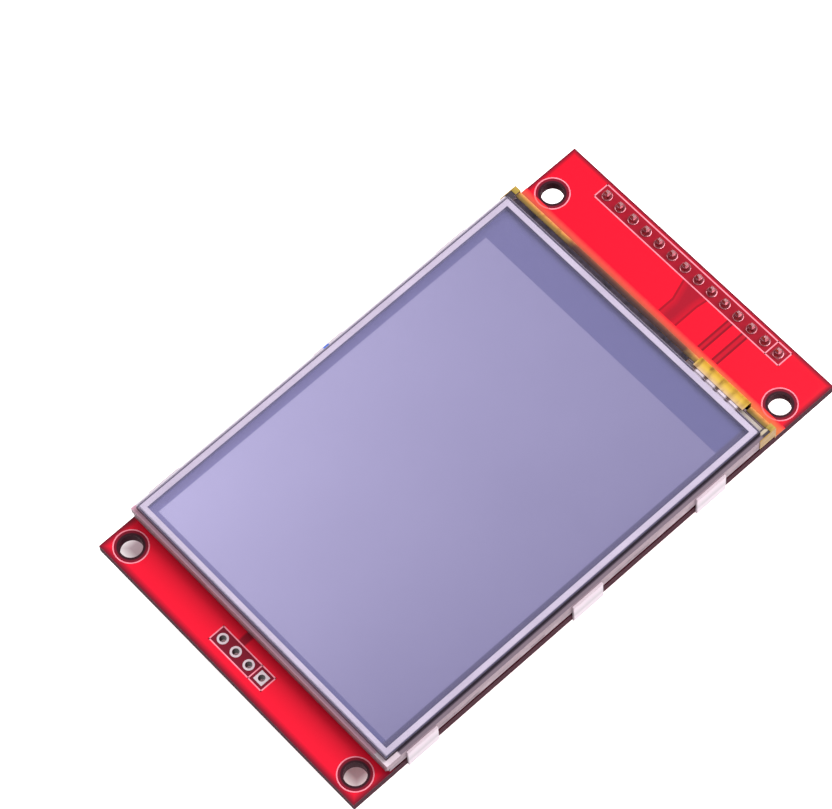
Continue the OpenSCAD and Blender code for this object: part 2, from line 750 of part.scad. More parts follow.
module light_guide() color("lightcyan")
    translate([-sheet_w / 2, 0, 0]) rotate([90, 0, 90]) linear_extrude(sheet_w)
        polygon([[sheet_y0, z_guide], [guide_y1, z_guide], [guide_y1, z_diffuser],
            [sheet_y0 + guide_bevel, z_diffuser], [sheet_y0, z_diffuser - guide_bevel]]);

module diffuser() color("white") plate(sheet_w, sheet_y0, guide_y1, z_diffuser, diffuser_t);
module lower_prism_sheet() color("aliceblue") plate(sheet_w, sheet_y0, guide_y1, z_prism1, prism_t);
module upper_prism_sheet() color("aliceblue") plate(sheet_w, sheet_y0, guide_y1, z_prism2, prism_t);

module leds() color("lemonchiffon")
    in_row(led_n, led_pitch) plate(led_w, led_y1 - led_d, led_y1, z_guide, led_h);

module led_strip() color("orange")
    plate(sheet_w, led_y1 - led_d, led_y1, z_guide + led_h, tape_t);

module rim_tape() color("black")
    flat_frame(cell_w, cell_y0, array_y1, z_rim, rim_tape_t,
        ledge_w + rim_tape_over, ledge_w + rim_tape_over, rim_tape_head);

// ---- Liquid crystal cell ---------------------------------------------

module lower_polarizer() color("slategray")
    plate(cell_w - 2 * pol_inset, cell_y0 + pol_inset, array_y1 - pol_inset, z_pol1, pol_t);
module array_glass() color("lightblue") plate(cell_w, cell_y0, array_y1, z_array, glass_t);
module colour_glass() color("slategray") plate(cell_w, cell_y0, colour_y1, z_colour, glass_t);
module upper_polarizer() color("mediumpurple")
    plate(cell_w - 2 * pol_inset, cell_y0 + pol_inset, colour_y1 - pol_inset / 2, z_pol2, pol_t);

module driver_chip() color("dimgray") translate([flex_x, 0, 0])
    plate(chip_l, chip_y1 - chip_w, chip_y1, z_colour, chip_t);

// ---- Flexes and tapes -------------------------------------------------

// Bonded on the shelf of the array glass, over the sill and round the end to the board
module display_flex() color("goldenrod")
    strip_yz([[array_y1 - bond_w, z_colour + flex_t / 2], [flex_y, z_colour + flex_t / 2],
        [flex_y, front + flex_t / 2], [disp_y1 - flex_run, front + flex_t / 2]], flex_t, flex_w, flex_x);

module flex_solder() color("silver")
    translate([flex_x, 0, 0]) in_row(joint_n, joint_pitch)
        plate(joint_w, disp_y1 - flex_run - joint_l, disp_y1 - flex_run, front, flex_t);

// Black tape over the chip and the flex's bond, stepped down from one to the other
module shelf_tape() color("black")
    strip_yz([[touch_y1 + strip_gap, z_colour + chip_t + tape_t / 2],
        [chip_y1 + strip_gap, z_colour + chip_t + tape_t / 2],
        [array_y1 - shelf_tape_lap, z_colour + flex_t + tape_t / 2],
        [shelf_tape_y1, z_colour + flex_t + tape_t / 2]], tape_t, flex_w, flex_x, shelf_tape_r);

module touch_tail() color("goldenrod")
    strip_yz([[touch_y1 - tail_grip, tail_z], [tail_y, tail_z], [tail_y, front + tail_t / 2],
        [disp_y1 - tail_run, front + tail_t / 2]], tail_t, tail_w, tail_x, tail_bend_r);

module tail_conductors() color("silver")
    translate([tail_x, 0, 0]) in_row(tail_n, tail_pitch)
        plate(conductor_w, touch_y1 + strip_gap, tail_y - conductor_end, z_spacer + tail_t, conductor_t);

module amber_tape() color("orange") {
    difference() {
        amber_strip(disp_y1 - tape_over, amber_z, disp_w - 2 * post_w - 2 * post_slit, 0, tape_r);
        // opening for the touch tail
        translate([tail_x, 0, 0])
            plate(tail_w + 2 * tail_slit, disp_y1 - tape_over - eps, disp_y1, amber_z - tape_t, 2 * tape_t);
    }
    amber_strip(touch_y1 + tail_bare, hood_z, tail_w + 2 * tail_slit, tail_x, hood_r);
    for (s = [0, 1]) mirror([s, 0, 0]) amber_corner();
}

// From a level down the wall to the foot
module amber_strip(y0, z, w, x, r)
    strip_yz([[y0, z], [amber_y, z], [amber_y, amber_foot_z], [disp_y1 + tape_foot, amber_foot_z]],
        tape_t, w, x, r);

// Wall, cap and flap over a corner post, and the end of the foot
module amber_corner() {
    x0 = disp_w / 2 - post_w - post_slit;
    x1 = disp_w / 2 + tape_t;
    z1 = z_top_rim + tape_t;
    translate([x0 - eps, disp_y1, front]) cube([x1 - x0 + eps, tape_t, z1 - front]);
    translate([x0 - eps, disp_y1, front]) cube([disp_w / 2 - x0 + eps, tape_foot, tape_t]);
    translate([x0, disp_y1 - tape_over, z_top_rim]) cube([x1 - x0, tape_over + tape_t, tape_t]);
    translate([disp_w / 2, disp_y1 - tape_flap, z_tray]) cube([tape_t, tape_flap + tape_t, z1 - z_tray]);
}

// From the side of the housing, down over the edge of the board and under it
module side_tapes() color("whitesmoke")
    for (s = [0, 1], y = side_tape_at) mirror([s, 0, 0])
        strip_xz([[disp_w / 2 + side_off, z_top_rim - side_tape_top],
            [disp_w / 2 + side_off, z_tray - side_off],
            [board_w / 2 + side_off, front + side_off], [board_w / 2 + side_off, -side_off],
            [board_w / 2 - side_tape_fold, -side_off]],
            side_tape_t, side_tape_w, disp_y0 + y, side_off);

// ---- Touch panel ------------------------------------------------------

module panel_tape() color("whitesmoke")
    flat_frame(touch_w - 2 * panel_tape_in, touch_y0 + panel_tape_in, touch_y1 - panel_tape_in,
        z_top_rim, panel_tape_t, panel_tape_w, panel_tape_w, panel_tape_w);

module touch_glass() color("lightsteelblue") plate(touch_w, touch_y0, touch_y1, z_touch, touch_glass_t);

// The tail is let into its underside
module touch_spacer() color("lavender")
    difference() {
        flat_frame(touch_w - 2 * spacer_inset, touch_y0 + spacer_inset, touch_y1 - spacer_inset,
            z_spacer, spacer_t, spacer_w, spacer_w, spacer_w);
        translate([tail_x, 0, 0]) plate(tail_w + 2 * strip_gap, touch_y1 - tail_grip - eps, touch_y1,
            z_spacer - eps, tail_t + eps);
    }

module touch_film() color("lightsteelblue")
    round_plate(touch_w, touch_y0, touch_y1, z_film, film_t, film_r);

board();
row_pads();
header_pads();
header_solder();
header_pins();
header_bar();
socket_base();
socket_shell();
socket_contacts();
touch_controller();
touch_controller_leads();
regulator();
regulator_leads();
backlight_transistor();
transistor_leads();
resistors();
resistor_ends();
capacitors();
capacitor_ends();
foam_tape();
steel_tray();
light_frame();
reflector();
light_guide();
diffuser();
lower_prism_sheet();
upper_prism_sheet();
led_strip();
leds();
rim_tape();
lower_polarizer();
array_glass();
colour_glass();
upper_polarizer();
driver_chip();
display_flex();
flex_solder();
shelf_tape();
panel_tape();
touch_glass();
touch_spacer();
touch_film();
touch_tail();
tail_conductors();
amber_tape();
side_tapes();
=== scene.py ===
"""Looks of the colour display module: its finishes, print, light and camera.

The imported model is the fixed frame. Every solid of the frame gets a finish built from nodes,
and the thin things that the frame leaves out, such as the printed lines, are made here.
"""

import json
import logging
import math
from dataclasses import dataclass
from enum import Enum
from typing import Any, Union

import bmesh
import bpy
from mathutils import Matrix, Vector

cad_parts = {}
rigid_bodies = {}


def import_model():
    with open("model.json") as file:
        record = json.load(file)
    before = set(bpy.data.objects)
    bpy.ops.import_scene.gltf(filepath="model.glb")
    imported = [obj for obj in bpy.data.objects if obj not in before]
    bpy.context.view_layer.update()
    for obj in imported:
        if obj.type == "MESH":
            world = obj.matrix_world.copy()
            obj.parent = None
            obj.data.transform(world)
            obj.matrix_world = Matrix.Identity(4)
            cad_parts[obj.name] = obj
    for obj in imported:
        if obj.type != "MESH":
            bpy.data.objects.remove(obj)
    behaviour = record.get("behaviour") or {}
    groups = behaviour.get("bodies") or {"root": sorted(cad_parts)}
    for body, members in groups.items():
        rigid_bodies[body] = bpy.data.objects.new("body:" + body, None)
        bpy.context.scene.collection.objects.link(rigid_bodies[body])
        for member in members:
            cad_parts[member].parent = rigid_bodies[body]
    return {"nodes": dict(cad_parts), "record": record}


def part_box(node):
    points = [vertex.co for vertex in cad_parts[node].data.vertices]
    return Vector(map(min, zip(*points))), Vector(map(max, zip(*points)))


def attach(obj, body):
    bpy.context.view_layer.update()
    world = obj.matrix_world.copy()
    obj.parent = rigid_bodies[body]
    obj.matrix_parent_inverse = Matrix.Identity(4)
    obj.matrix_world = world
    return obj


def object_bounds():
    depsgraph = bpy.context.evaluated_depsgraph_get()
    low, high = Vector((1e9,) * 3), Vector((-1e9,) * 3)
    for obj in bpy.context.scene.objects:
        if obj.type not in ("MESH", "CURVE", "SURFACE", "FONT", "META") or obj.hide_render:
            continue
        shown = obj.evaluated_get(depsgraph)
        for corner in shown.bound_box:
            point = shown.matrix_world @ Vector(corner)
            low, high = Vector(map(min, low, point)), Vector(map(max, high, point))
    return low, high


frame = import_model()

CAD_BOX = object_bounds()
MM = 0.001
ROOT = "root"

# Places of the sockets that a Mix node uses for colours.
MIX_SHARE, MIX_LOW, MIX_HIGH, MIX_RESULT = 0, 6, 7, 2

log = logging.getLogger("display_module")

Rgb = tuple[int, int, int]
Stops = tuple[tuple[float, Rgb], ...]
Number = Union[float, "Term"]

BLACK: Rgb = (0, 0, 0)
WHITE: Rgb = (255, 255, 255)


class Blur(float, Enum):
    """Widths in millimetres over which one colour turns into the next."""

    SHEET = 0.01
    CUT = 0.02
    CRISP = 0.1
    TAPED = 0.2
    MELTED = 0.3
    SOFT = 1.0


class Detail(float, Enum):
    """How many finer layers a noise has."""

    EVEN = 1.0
    LOW = 2.0
    MIDDLE = 3.0
    HIGH = 4.0


def linear(colour: Rgb, alpha: float = 1.0) -> tuple[float, float, float, float]:
    """Turn a screen colour into the linear values that shaders use.

    Args:
        colour: Red, green and blue from 0 to 255.
        alpha: Opacity from 0 to 1.

    Returns:
        Linear red, green, blue and the opacity.
    """
    def channel(value: int) -> float:
        """Undo the screen curve of one channel."""
        share = value / 255
        return share / 12.92 if share <= 0.04045 else ((share + 0.055) / 1.055) ** 2.4

    red, green, blue = (channel(value) for value in colour)
    return red, green, blue, alpha


def in_mm(*values: float) -> tuple[float, ...]:
    """Turn metres into millimetres."""
    return tuple(value / MM for value in values)


# ---- Shader maths ----------------------------------------------------------------------------


class Term:
    """A number inside a node tree: a socket whose operators add Math nodes."""

    def __init__(self, tree: bpy.types.NodeTree, socket: bpy.types.NodeSocket) -> None:
        """Wrap an output socket of a tree."""
        self.tree = tree
        self.socket = socket

    def _math(self, operation: str, *values: Number, clamp: bool = False) -> "Term":
        """Add one Math node.

        Args:
            operation: The node's operation.
            values: Its inputs in order, numbers or terms.
            clamp: Whether the result is held between 0 and 1.

        Returns:
            The node's result.
        """
        node = self.tree.nodes.new("ShaderNodeMath")
        node.operation = operation
        node.use_clamp = clamp
        for slot, value in zip(node.inputs, values):
            if isinstance(value, Term):
                self.tree.links.new(value.socket, slot)
            else:
                slot.default_value = value
        return Term(self.tree, node.outputs[0])

    def __add__(self, other: Number) -> "Term":
        """Sum."""
        return self._math("ADD", self, other)

    __radd__ = __add__

    def __sub__(self, other: Number) -> "Term":
        """Difference."""
        return self._math("SUBTRACT", self, other)

    def __rsub__(self, other: Number) -> "Term":
        """Difference, with the number first."""
        return self._math("SUBTRACT", other, self)

    def __mul__(self, other: Number) -> "Term":
        """Product."""
        return self._math("MULTIPLY", self, other)

    __rmul__ = __mul__

    def __truediv__(self, other: Number) -> "Term":
        """Quotient."""
        return self._math("DIVIDE", self, other)

    def __rtruediv__(self, other: Number) -> "Term":
        """Quotient, with the number first."""
        return self._math("DIVIDE", other, self)

    def __abs__(self) -> "Term":
        """Size without sign."""
        return self._math("ABSOLUTE", self)

    def __pow__(self, other: Number) -> "Term":
        """Power."""
        return self._math("POWER", self, other)

    def least(self, other: Number) -> "Term":
        """The smaller of two."""
        return self._math("MINIMUM", self, other)

    def most(self, other: Number) -> "Term":
        """The larger of two."""
        return self._math("MAXIMUM", self, other)

    def root(self) -> "Term":
        """Square root."""
        return self._math("SQRT", self)

    def floor(self) -> "Term":
        """The whole number below."""
        return self._math("FLOOR", self)

    def between(self, low: Number, high: Number) -> "Term":
        """Distance to the nearer of two bounds, above 0 between them."""
        return (self - low).least(high - self)

    def inside(self, blur: float = Blur.CUT) -> "Term":
        """1 where the value is above 0 and 0 where it is below, blurred over a width."""
        return self._math("MULTIPLY_ADD", self, 1 / blur, 0.5, clamp=True)

    def held(self) -> "Term":
        """The value held between 0 and 1."""
        return self._math("ADD", self, 0.0, clamp=True)

    def contrast(self, gain: float, middle: float = 0.5) -> "Term":
        """Noise made stronger.

        Args:
            gain: How many times as strong it becomes.
            middle: What its middle becomes.

        Returns:
            The stronger noise, held between 0 and 1.
        """
        return ((self - 0.5) * gain + middle).held()


class Wiring:
    """Adds the nodes of one tree and joins them."""

    def __init__(self, tree: bpy.types.NodeTree) -> None:
        """Start on a tree."""
        self.tree = tree

    def node(self, kind: str, settings: dict[str, Any] | None = None,
             **inputs: Any) -> bpy.types.Node:
        """Add a node.

        Args:
            kind: The node's type.
            settings: Its own properties, set before its sockets. A ramp's stops are given as
                "stops", a list of place and colour.
            inputs: Values or links of its sockets, by name with _ for a space.

        Returns:
            The node.
        """
        node = self.tree.nodes.new(kind)
        for key, value in (settings or {}).items():
            if key == "stops":
                self._set_stops(node.color_ramp, value)
            else:
                setattr(node, key, value)
        self.fill(node, inputs)
        return node

    @staticmethod
    def _set_stops(ramp: bpy.types.ColorRamp, stops: list[tuple[float, tuple]]) -> None:
        """Give a colour ramp its stops."""
        while len(ramp.elements) < len(stops):
            ramp.elements.new(1.0)
        for element, (place, colour) in zip(ramp.elements, stops):
            element.position = place
            element.color = colour

    def fill(self, node: bpy.types.Node, inputs: dict[str, Any]) -> None:
        """Feed a node's sockets by name, with _ for a space."""
        for name, value in inputs.items():
            self.feed(node.inputs[name.replace("_", " ")], value)

    def feed(self, socket: bpy.types.NodeSocket, value: Any) -> None:
        """Link a socket to a term or another socket, or set its value."""
        if isinstance(value, Term):
            self.tree.links.new(value.socket, socket)
        elif isinstance(value, bpy.types.NodeSocket):
            self.tree.links.new(value, socket)
        else:
            socket.default_value = value

    def shown(self) -> Term:
        """1 for rays that show the studio, in the view itself or in gloss and glass, else 0."""
        rays = self.node("ShaderNodeLightPath").outputs
        view, gloss, glass = (Term(self.tree, rays[f"Is {kind} Ray"])
                              for kind in ("Camera", "Glossy", "Transmission"))
        return view.most(gloss).most(glass)


class Painter(Wiring):
    """Builds one procedural material."""

    def __init__(self, name: str) -> None:
        """Start a material with a Principled surface and object coordinates in millimetres."""
        self.material = bpy.data.materials.new(name)
        self.material.use_nodes = True
        super().__init__(self.material.node_tree)
        self.surface = self.tree.nodes["Principled BSDF"]
        place = self.node("ShaderNodeTexCoord").outputs["Object"]
        scaled = self.node("ShaderNodeVectorMath", {"operation": "SCALE"}, Vector=place,
                           Scale=1 / MM)
        self.place = scaled.outputs["Vector"]
        split = self.node("ShaderNodeSeparateXYZ", Vector=self.place)
        self.x, self.y, self.z = (Term(self.tree, split.outputs[axis]) for axis in "XYZ")

    @staticmethod
    def tinted(colour: Any) -> Any:
        """A screen colour in linear values, or a socket as it is."""
        return linear(colour) if isinstance(colour, tuple) else colour

    def blend(self, low: Any, high: Any, share: Number) -> bpy.types.NodeSocket:
        """Mix two colours.

        Args:
            low: Colour at share 0, a socket or a screen colour.
            high: Colour at share 1, a socket or a screen colour.
            share: How much of the second.

        Returns:
            The mixed colour's socket.
        """
        node = self.node("ShaderNodeMix", {"data_type": "RGBA"})
        self.feed(node.inputs[MIX_SHARE], share)
        self.feed(node.inputs[MIX_LOW], self.tinted(low))
        self.feed(node.inputs[MIX_HIGH], self.tinted(high))
        return node.outputs[MIX_RESULT]

    def ramp(self, share: Number, stops: Stops) -> bpy.types.NodeSocket:
        """Run through colours.

        Args:
            share: Where on the ramp, 0 to 1.
            stops: Places on it and their colours.

        Returns:
            The colour's socket.
        """
        placed = [(place, linear(tint)) for place, tint in stops]
        return self.node("ShaderNodeValToRGB", {"stops": placed}, Fac=share).outputs["Color"]

    def noise(self, size: float, detail: Detail = Detail.MIDDLE,
              stretch: tuple[float, float, float] = (1, 1, 1)) -> Term:
        """Smooth noise around 0.5.

        Args:
            size: Size of its spots in millimetres.
            detail: How many finer layers it has.
            stretch: How much its spots are squeezed along each axis.

        Returns:
            The noise.
        """
        vector = self.node("ShaderNodeMapping", Vector=self.place, Scale=stretch).outputs[0]
        node = self.node("ShaderNodeTexNoise", {"noise_dimensions": "3D"}, Vector=vector,
                         Scale=1 / size, Detail=detail.value)
        return Term(self.tree, node.outputs["Fac"])

    def box_edge(self, x0: float, x1: float, y0: float, y1: float) -> Term:
        """Distance to the sides of a rectangle in X and Y, above 0 inside it, in millimetres."""
        return self.x.between(x0, x1).least(self.y.between(y0, y1))

    def from_holes(self, x: float, along: Term) -> Term:
        """Distance to the nearer of two points at X and minus X, given the distance along Y."""
        return ((abs(self.x) - x) ** 2 + along ** 2).root()

    def gaps(self, middle: float, pitch: float, share: float, blur: float = 0.15) -> Term:
        """Mask of the gaps between stripes that run along Y.

        Args:
            middle: Where along X one gap lies.
            pitch: Distance between gaps.
            share: Width of a gap as a share of the pitch.
            blur: Softness of its edges as a share of the pitch.

        Returns:
            1 in the gaps and 0 on the stripes.
        """
        turn = (self.x - middle) / pitch
        off = abs(turn - (turn + 0.5).floor())
        return (share / 2 - off).inside(blur)

    def dress(self, base: Any, roughness: Number, metallic: Number = 0.0,
              **others: Any) -> bpy.types.Material:
        """Set the surface's sockets and return the material.

        Args:
            base: Base colour, a socket or a screen colour.
            roughness: A value or a term.
            metallic: A value or a term.
            others: Other sockets by name, with _ for a space.

        Returns:
            The material.
        """
        self.fill(self.surface, {"Base_Color": self.tinted(base), "Roughness": roughness,
                                 "Metallic": metallic, **others})
        return self.material


# ---- Finishes --------------------------------------------------------------------------------
# Sizes and places are in millimetres here, except the corners of boxes, which are in metres.


@dataclass(frozen=True)
class Texture:
    """The fine structure and shine of a surface.

    Attributes:
        roughness: Its roughness.
        gloss: Strength of its plain reflection.
        depth: Depth of its relief.
        spot: Size of its mottling.
        grain: Size of its relief, where that isn't made of the mottling.
    """

    roughness: float
    gloss: float
    depth: float
    spot: float = 1.0
    grain: float = 1.0

    def finish(self, paint: Painter, base: Any, relief: Term | None = None, wear: Number = 0.0,
               metallic: Number = 0.0, **others: Any) -> bpy.types.Material:
        """Add the relief and the shine to a material and return it.

        Args:
            paint: The material.
            base: Its base colour, a socket or a screen colour.
            relief: Its relief, or None for noise of its own grain.
            wear: What is added to the roughness.
            metallic: How metallic it is.
            others: Other sockets by name, with _ for a space.

        Returns:
            The material.
        """
        height = paint.noise(self.grain, Detail.LOW) if relief is None else relief
        bump = paint.node("ShaderNodeBump", Height=height, Distance=self.depth * MM, Strength=1.0)
        return paint.dress(base, self.roughness + wear, metallic, Normal=bump.outputs[0],
                           Specular_IOR_Level=self.gloss, **others)


@dataclass(frozen=True)
class PlainFinish:
    """A surface of one colour family, with mottling and fine relief.

    Attributes:
        name: Name of the material.
        tint: Main colour.
        shade: Colour of the mottling.
        roughness: Middle roughness.
        metallic: 0 for plastics and 1 for metals.
        spot: Size of the mottling.
        grain: Size of the fine relief.
        depth: Depth of the fine relief.
        stretch: Squeeze of the mottling along each axis, for brushed sheets.
        alpha: Opacity.
        gloss: Strength of the plain reflection of a surface that isn't metal.
        coat: Weight of a clear coat, such as flux left on solder.
        gain: Strength of the mottling.
        wear: How much the mottling changes the roughness.
    """

    name: str
    tint: Rgb
    shade: Rgb
    roughness: float
    metallic: float = 0.0
    spot: float = 4.0
    grain: float = 0.15
    depth: float = 0.004
    stretch: tuple[float, float, float] = (1, 1, 1)
    alpha: float = 1.0
    gloss: float = 0.3
    coat: float = 0.0
    gain: float = 2.2
    wear: float = 0.12

    def build(self) -> bpy.types.Material:
        """Build the material."""
        paint = Painter(self.name)
        mottle = paint.noise(self.spot, Detail.HIGH, self.stretch).contrast(self.gain)
        texture = Texture(self.roughness, self.gloss, self.depth)
        return texture.finish(paint, paint.blend(self.tint, self.shade, mottle),
                              paint.noise(self.grain, Detail.LOW, self.stretch),
                              (mottle - 0.5) * self.wear, self.metallic, Alpha=self.alpha,
                              Coat_Weight=self.coat)


class Sheen(Enum):
    """The plain finishes of the module, by the piece or stuff that wears them.

    After the two colours come roughness, metallic share and the sizes of mottling and grain.
    """

    TIN = PlainFinish("tinned_copper", (214, 208, 204), (168, 160, 158), 0.28, 1.0, 0.8, 0.2, 0.01)
    # Solder and wetted pads are tinted red: a painted reflection of the red board.
    SOLDER = PlainFinish("solder", (182, 118, 128), (112, 40, 54), 0.25, 0.8, 0.5, 0.3, 0.05,
                         coat=0.3)
    WETTED_PAD = PlainFinish("wetted_pad", (142, 34, 50), (110, 18, 34), 0.4, 0.2, 0.5, 0.3, 0.02)
    GOLD = PlainFinish("gold_plate", (232, 196, 110), (196, 150, 66), 0.24, 1.0, 1.2, 0.2, 0.006)
    STEEL = PlainFinish("stainless_sheet", (200, 198, 198), (150, 148, 150), 0.32, 1.0, 2.0, 0.12,
                        0.006, (0.08, 1, 1))
    BLACK_PLASTIC = PlainFinish("black_plastic", (26, 26, 28), (42, 42, 44), 0.5, 0.0, 3.0, 0.25,
                                0.012)
    IVORY_PLASTIC = PlainFinish("ivory_plastic", (226, 218, 196), (206, 196, 170), 0.5, 0.0, 5.0)
    CHIP = PlainFinish("chip_moulding", (38, 38, 40), (56, 56, 58), 0.55, 0.0, 1.5, 0.12, 0.01)
    RESISTOR = PlainFinish("resistor_film", (24, 24, 28), (48, 46, 50), 0.35, 0.0, 0.8)
    CERAMIC = PlainFinish("capacitor_ceramic", (176, 140, 104), (150, 116, 84), 0.5, 0.0, 0.6)
    FOAM = PlainFinish("white_foam", (236, 234, 228), (214, 210, 204), 0.8, 0.0, 1.2, 0.3, 0.04)
    # The tray is the stainless sheet painted darker and pinker: painted shade and a painted red
    # reflection.
    SHADED_TRAY = PlainFinish("shaded_tray_steel", (150, 130, 140), (112, 94, 104), 0.45, 0.6, 2.0, 0.12, 0.006,
                       (0.3, 1, 1), gloss=0.2)
    CONDUCTOR = PlainFinish("printed_silver", (204, 190, 200), (176, 162, 170), 0.4, 0.15, 0.6)
    PANEL_TAPE = PlainFinish("panel_adhesive", (120, 116, 152), (106, 102, 138), 0.5)
    WHITE_FILM = PlainFinish("white_film", (228, 222, 226), (214, 208, 214), 0.45, 0.0, 6.0)
    SPACER = PlainFinish("spacer_film", (198, 186, 206), (184, 172, 192), 0.5, 0.0, 5.0, gloss=0.2)
    ACRYLIC = PlainFinish("clear_acrylic", (224, 238, 242), (206, 226, 232), 0.12, 0.0, 8.0,
                          alpha=0.35)
    PRISM = PlainFinish("prism_film", (222, 228, 234), (204, 210, 220), 0.3, 0.0, 8.0, 0.05, 0.004,
                        (1, 0.05, 1))
    DIODE = PlainFinish("diode_fill", (248, 236, 150), (240, 240, 236), 0.4, 0.0, 1.6)
    POLYIMIDE = PlainFinish("amber_flex", (206, 140, 52), (172, 104, 32), 0.34, 0.0, 3.0, 0.5,
                            0.01, (1, 0.12, 1))
    BLACK_FILM = PlainFinish("black_film", (24, 19, 28), (62, 52, 64), 0.55, 0.0, 0.9, 0.3, 0.03,
                             gloss=0.12)
    DARK_GLASS = PlainFinish("dark_glass", (92, 92, 104), (74, 74, 88), 0.15, 0.0, 6.0)
    SILICON = PlainFinish("silicon", (46, 46, 56), (64, 64, 76), 0.2, 0.4, 1.0)
    PRINT = PlainFinish("printed_ink", (226, 118, 138), (236, 146, 162), 0.6, 0.0, 1.0, 0.12, 0.01)


@dataclass(frozen=True)
class Tracks:
    """Tracks under the mask on the front, drawn by the gaps beside them.

    Attributes:
        pairs: X ranges without copper that part the thin tracks.
        pair_shade: How dark they are, from 0 to 1.
        band: X range of the wide strip without copper at the display.
        bends: Where along Y its left and its right side start to lean outwards.
        leans: How far each moves out per millimetre of Y there.
        band_shade: How dark it is at its sides, how much that grows per millimetre inwards,
            and how far in it goes on.
        gap: Half the width of the darker gap along a side.
        band_gap: How far inside the wide strip its gap lies, and how dark it is.
        under: How far the tracks run under the display.
        stub: Middle of a short track at the small row along X, half its width and where along
            Y it ends.
        stub_shade: How dark it is.
        blur: Softness of the gaps beside the thin tracks.
    """

    pairs: tuple[tuple[float, float], ...] = ((8.36, 9.15), (11.05, 11.95))
    pair_shade: float = 0.6
    band: tuple[float, float] = (0.75, 4.1)
    bends: tuple[float, float] = (38.7, 40.1)
    leans: tuple[float, float] = (0.33, 0.15)
    band_shade: tuple[float, float, float] = (0.5, 0.22, 1.3)
    gap: float = 0.17
    band_gap: tuple[float, float] = (0.1, 0.8)
    under: float = 4.0
    stub: tuple[float, float, float] = (-1.7, 0.6, -30.0)
    stub_shade: float = 0.8
    blur: float = 0.15

    def masks(self, paint: Painter, board: "BoardSizes") -> tuple[Term, Term]:
        """Draw the tracks.

        Args:
            paint: The material that they are drawn in.
            board: Where the rows and the housing lie.

        Returns:
            The mask of the narrow gaps, and that of the strips without copper.
        """
        gaps = strips = paint.x * 0.0
        for pair in self.pairs:
            inner = paint.x.between(*pair)
            strips = strips.most(inner.inside(self.blur) * self.pair_shade)
            gaps = gaps.most((self.gap - abs(inner)).inside(self.blur))
        lean_left, lean_right = ((paint.y - bend).most(0.0) * lean
                                 for bend, lean in zip(self.bends, self.leans))
        band = paint.x.between(self.band[0] - lean_left, self.band[1] + lean_right)
        shade, growth, reach = self.band_shade
        depth = band.most(0.0).least(reach) * growth + shade
        strips = strips.most(band.inside(Blur.TAPED) * depth)
        inset, shade = self.band_gap
        gaps = gaps.most((self.gap - abs(band - inset)).inside(Blur.TAPED) * shade)
        shown = paint.y.between(board.housing_y - self.under, board.header_row[2])
        shown = shown.inside(Blur.CRISP)
        middle, half, end = self.stub
        stub = (half - abs(paint.x - middle)).inside(Blur.MELTED) * self.stub_shade
        stub = stub * paint.y.between(board.small_row[3], end).inside(Blur.CRISP)
        return gaps * shown, (strips * shown).most(stub)


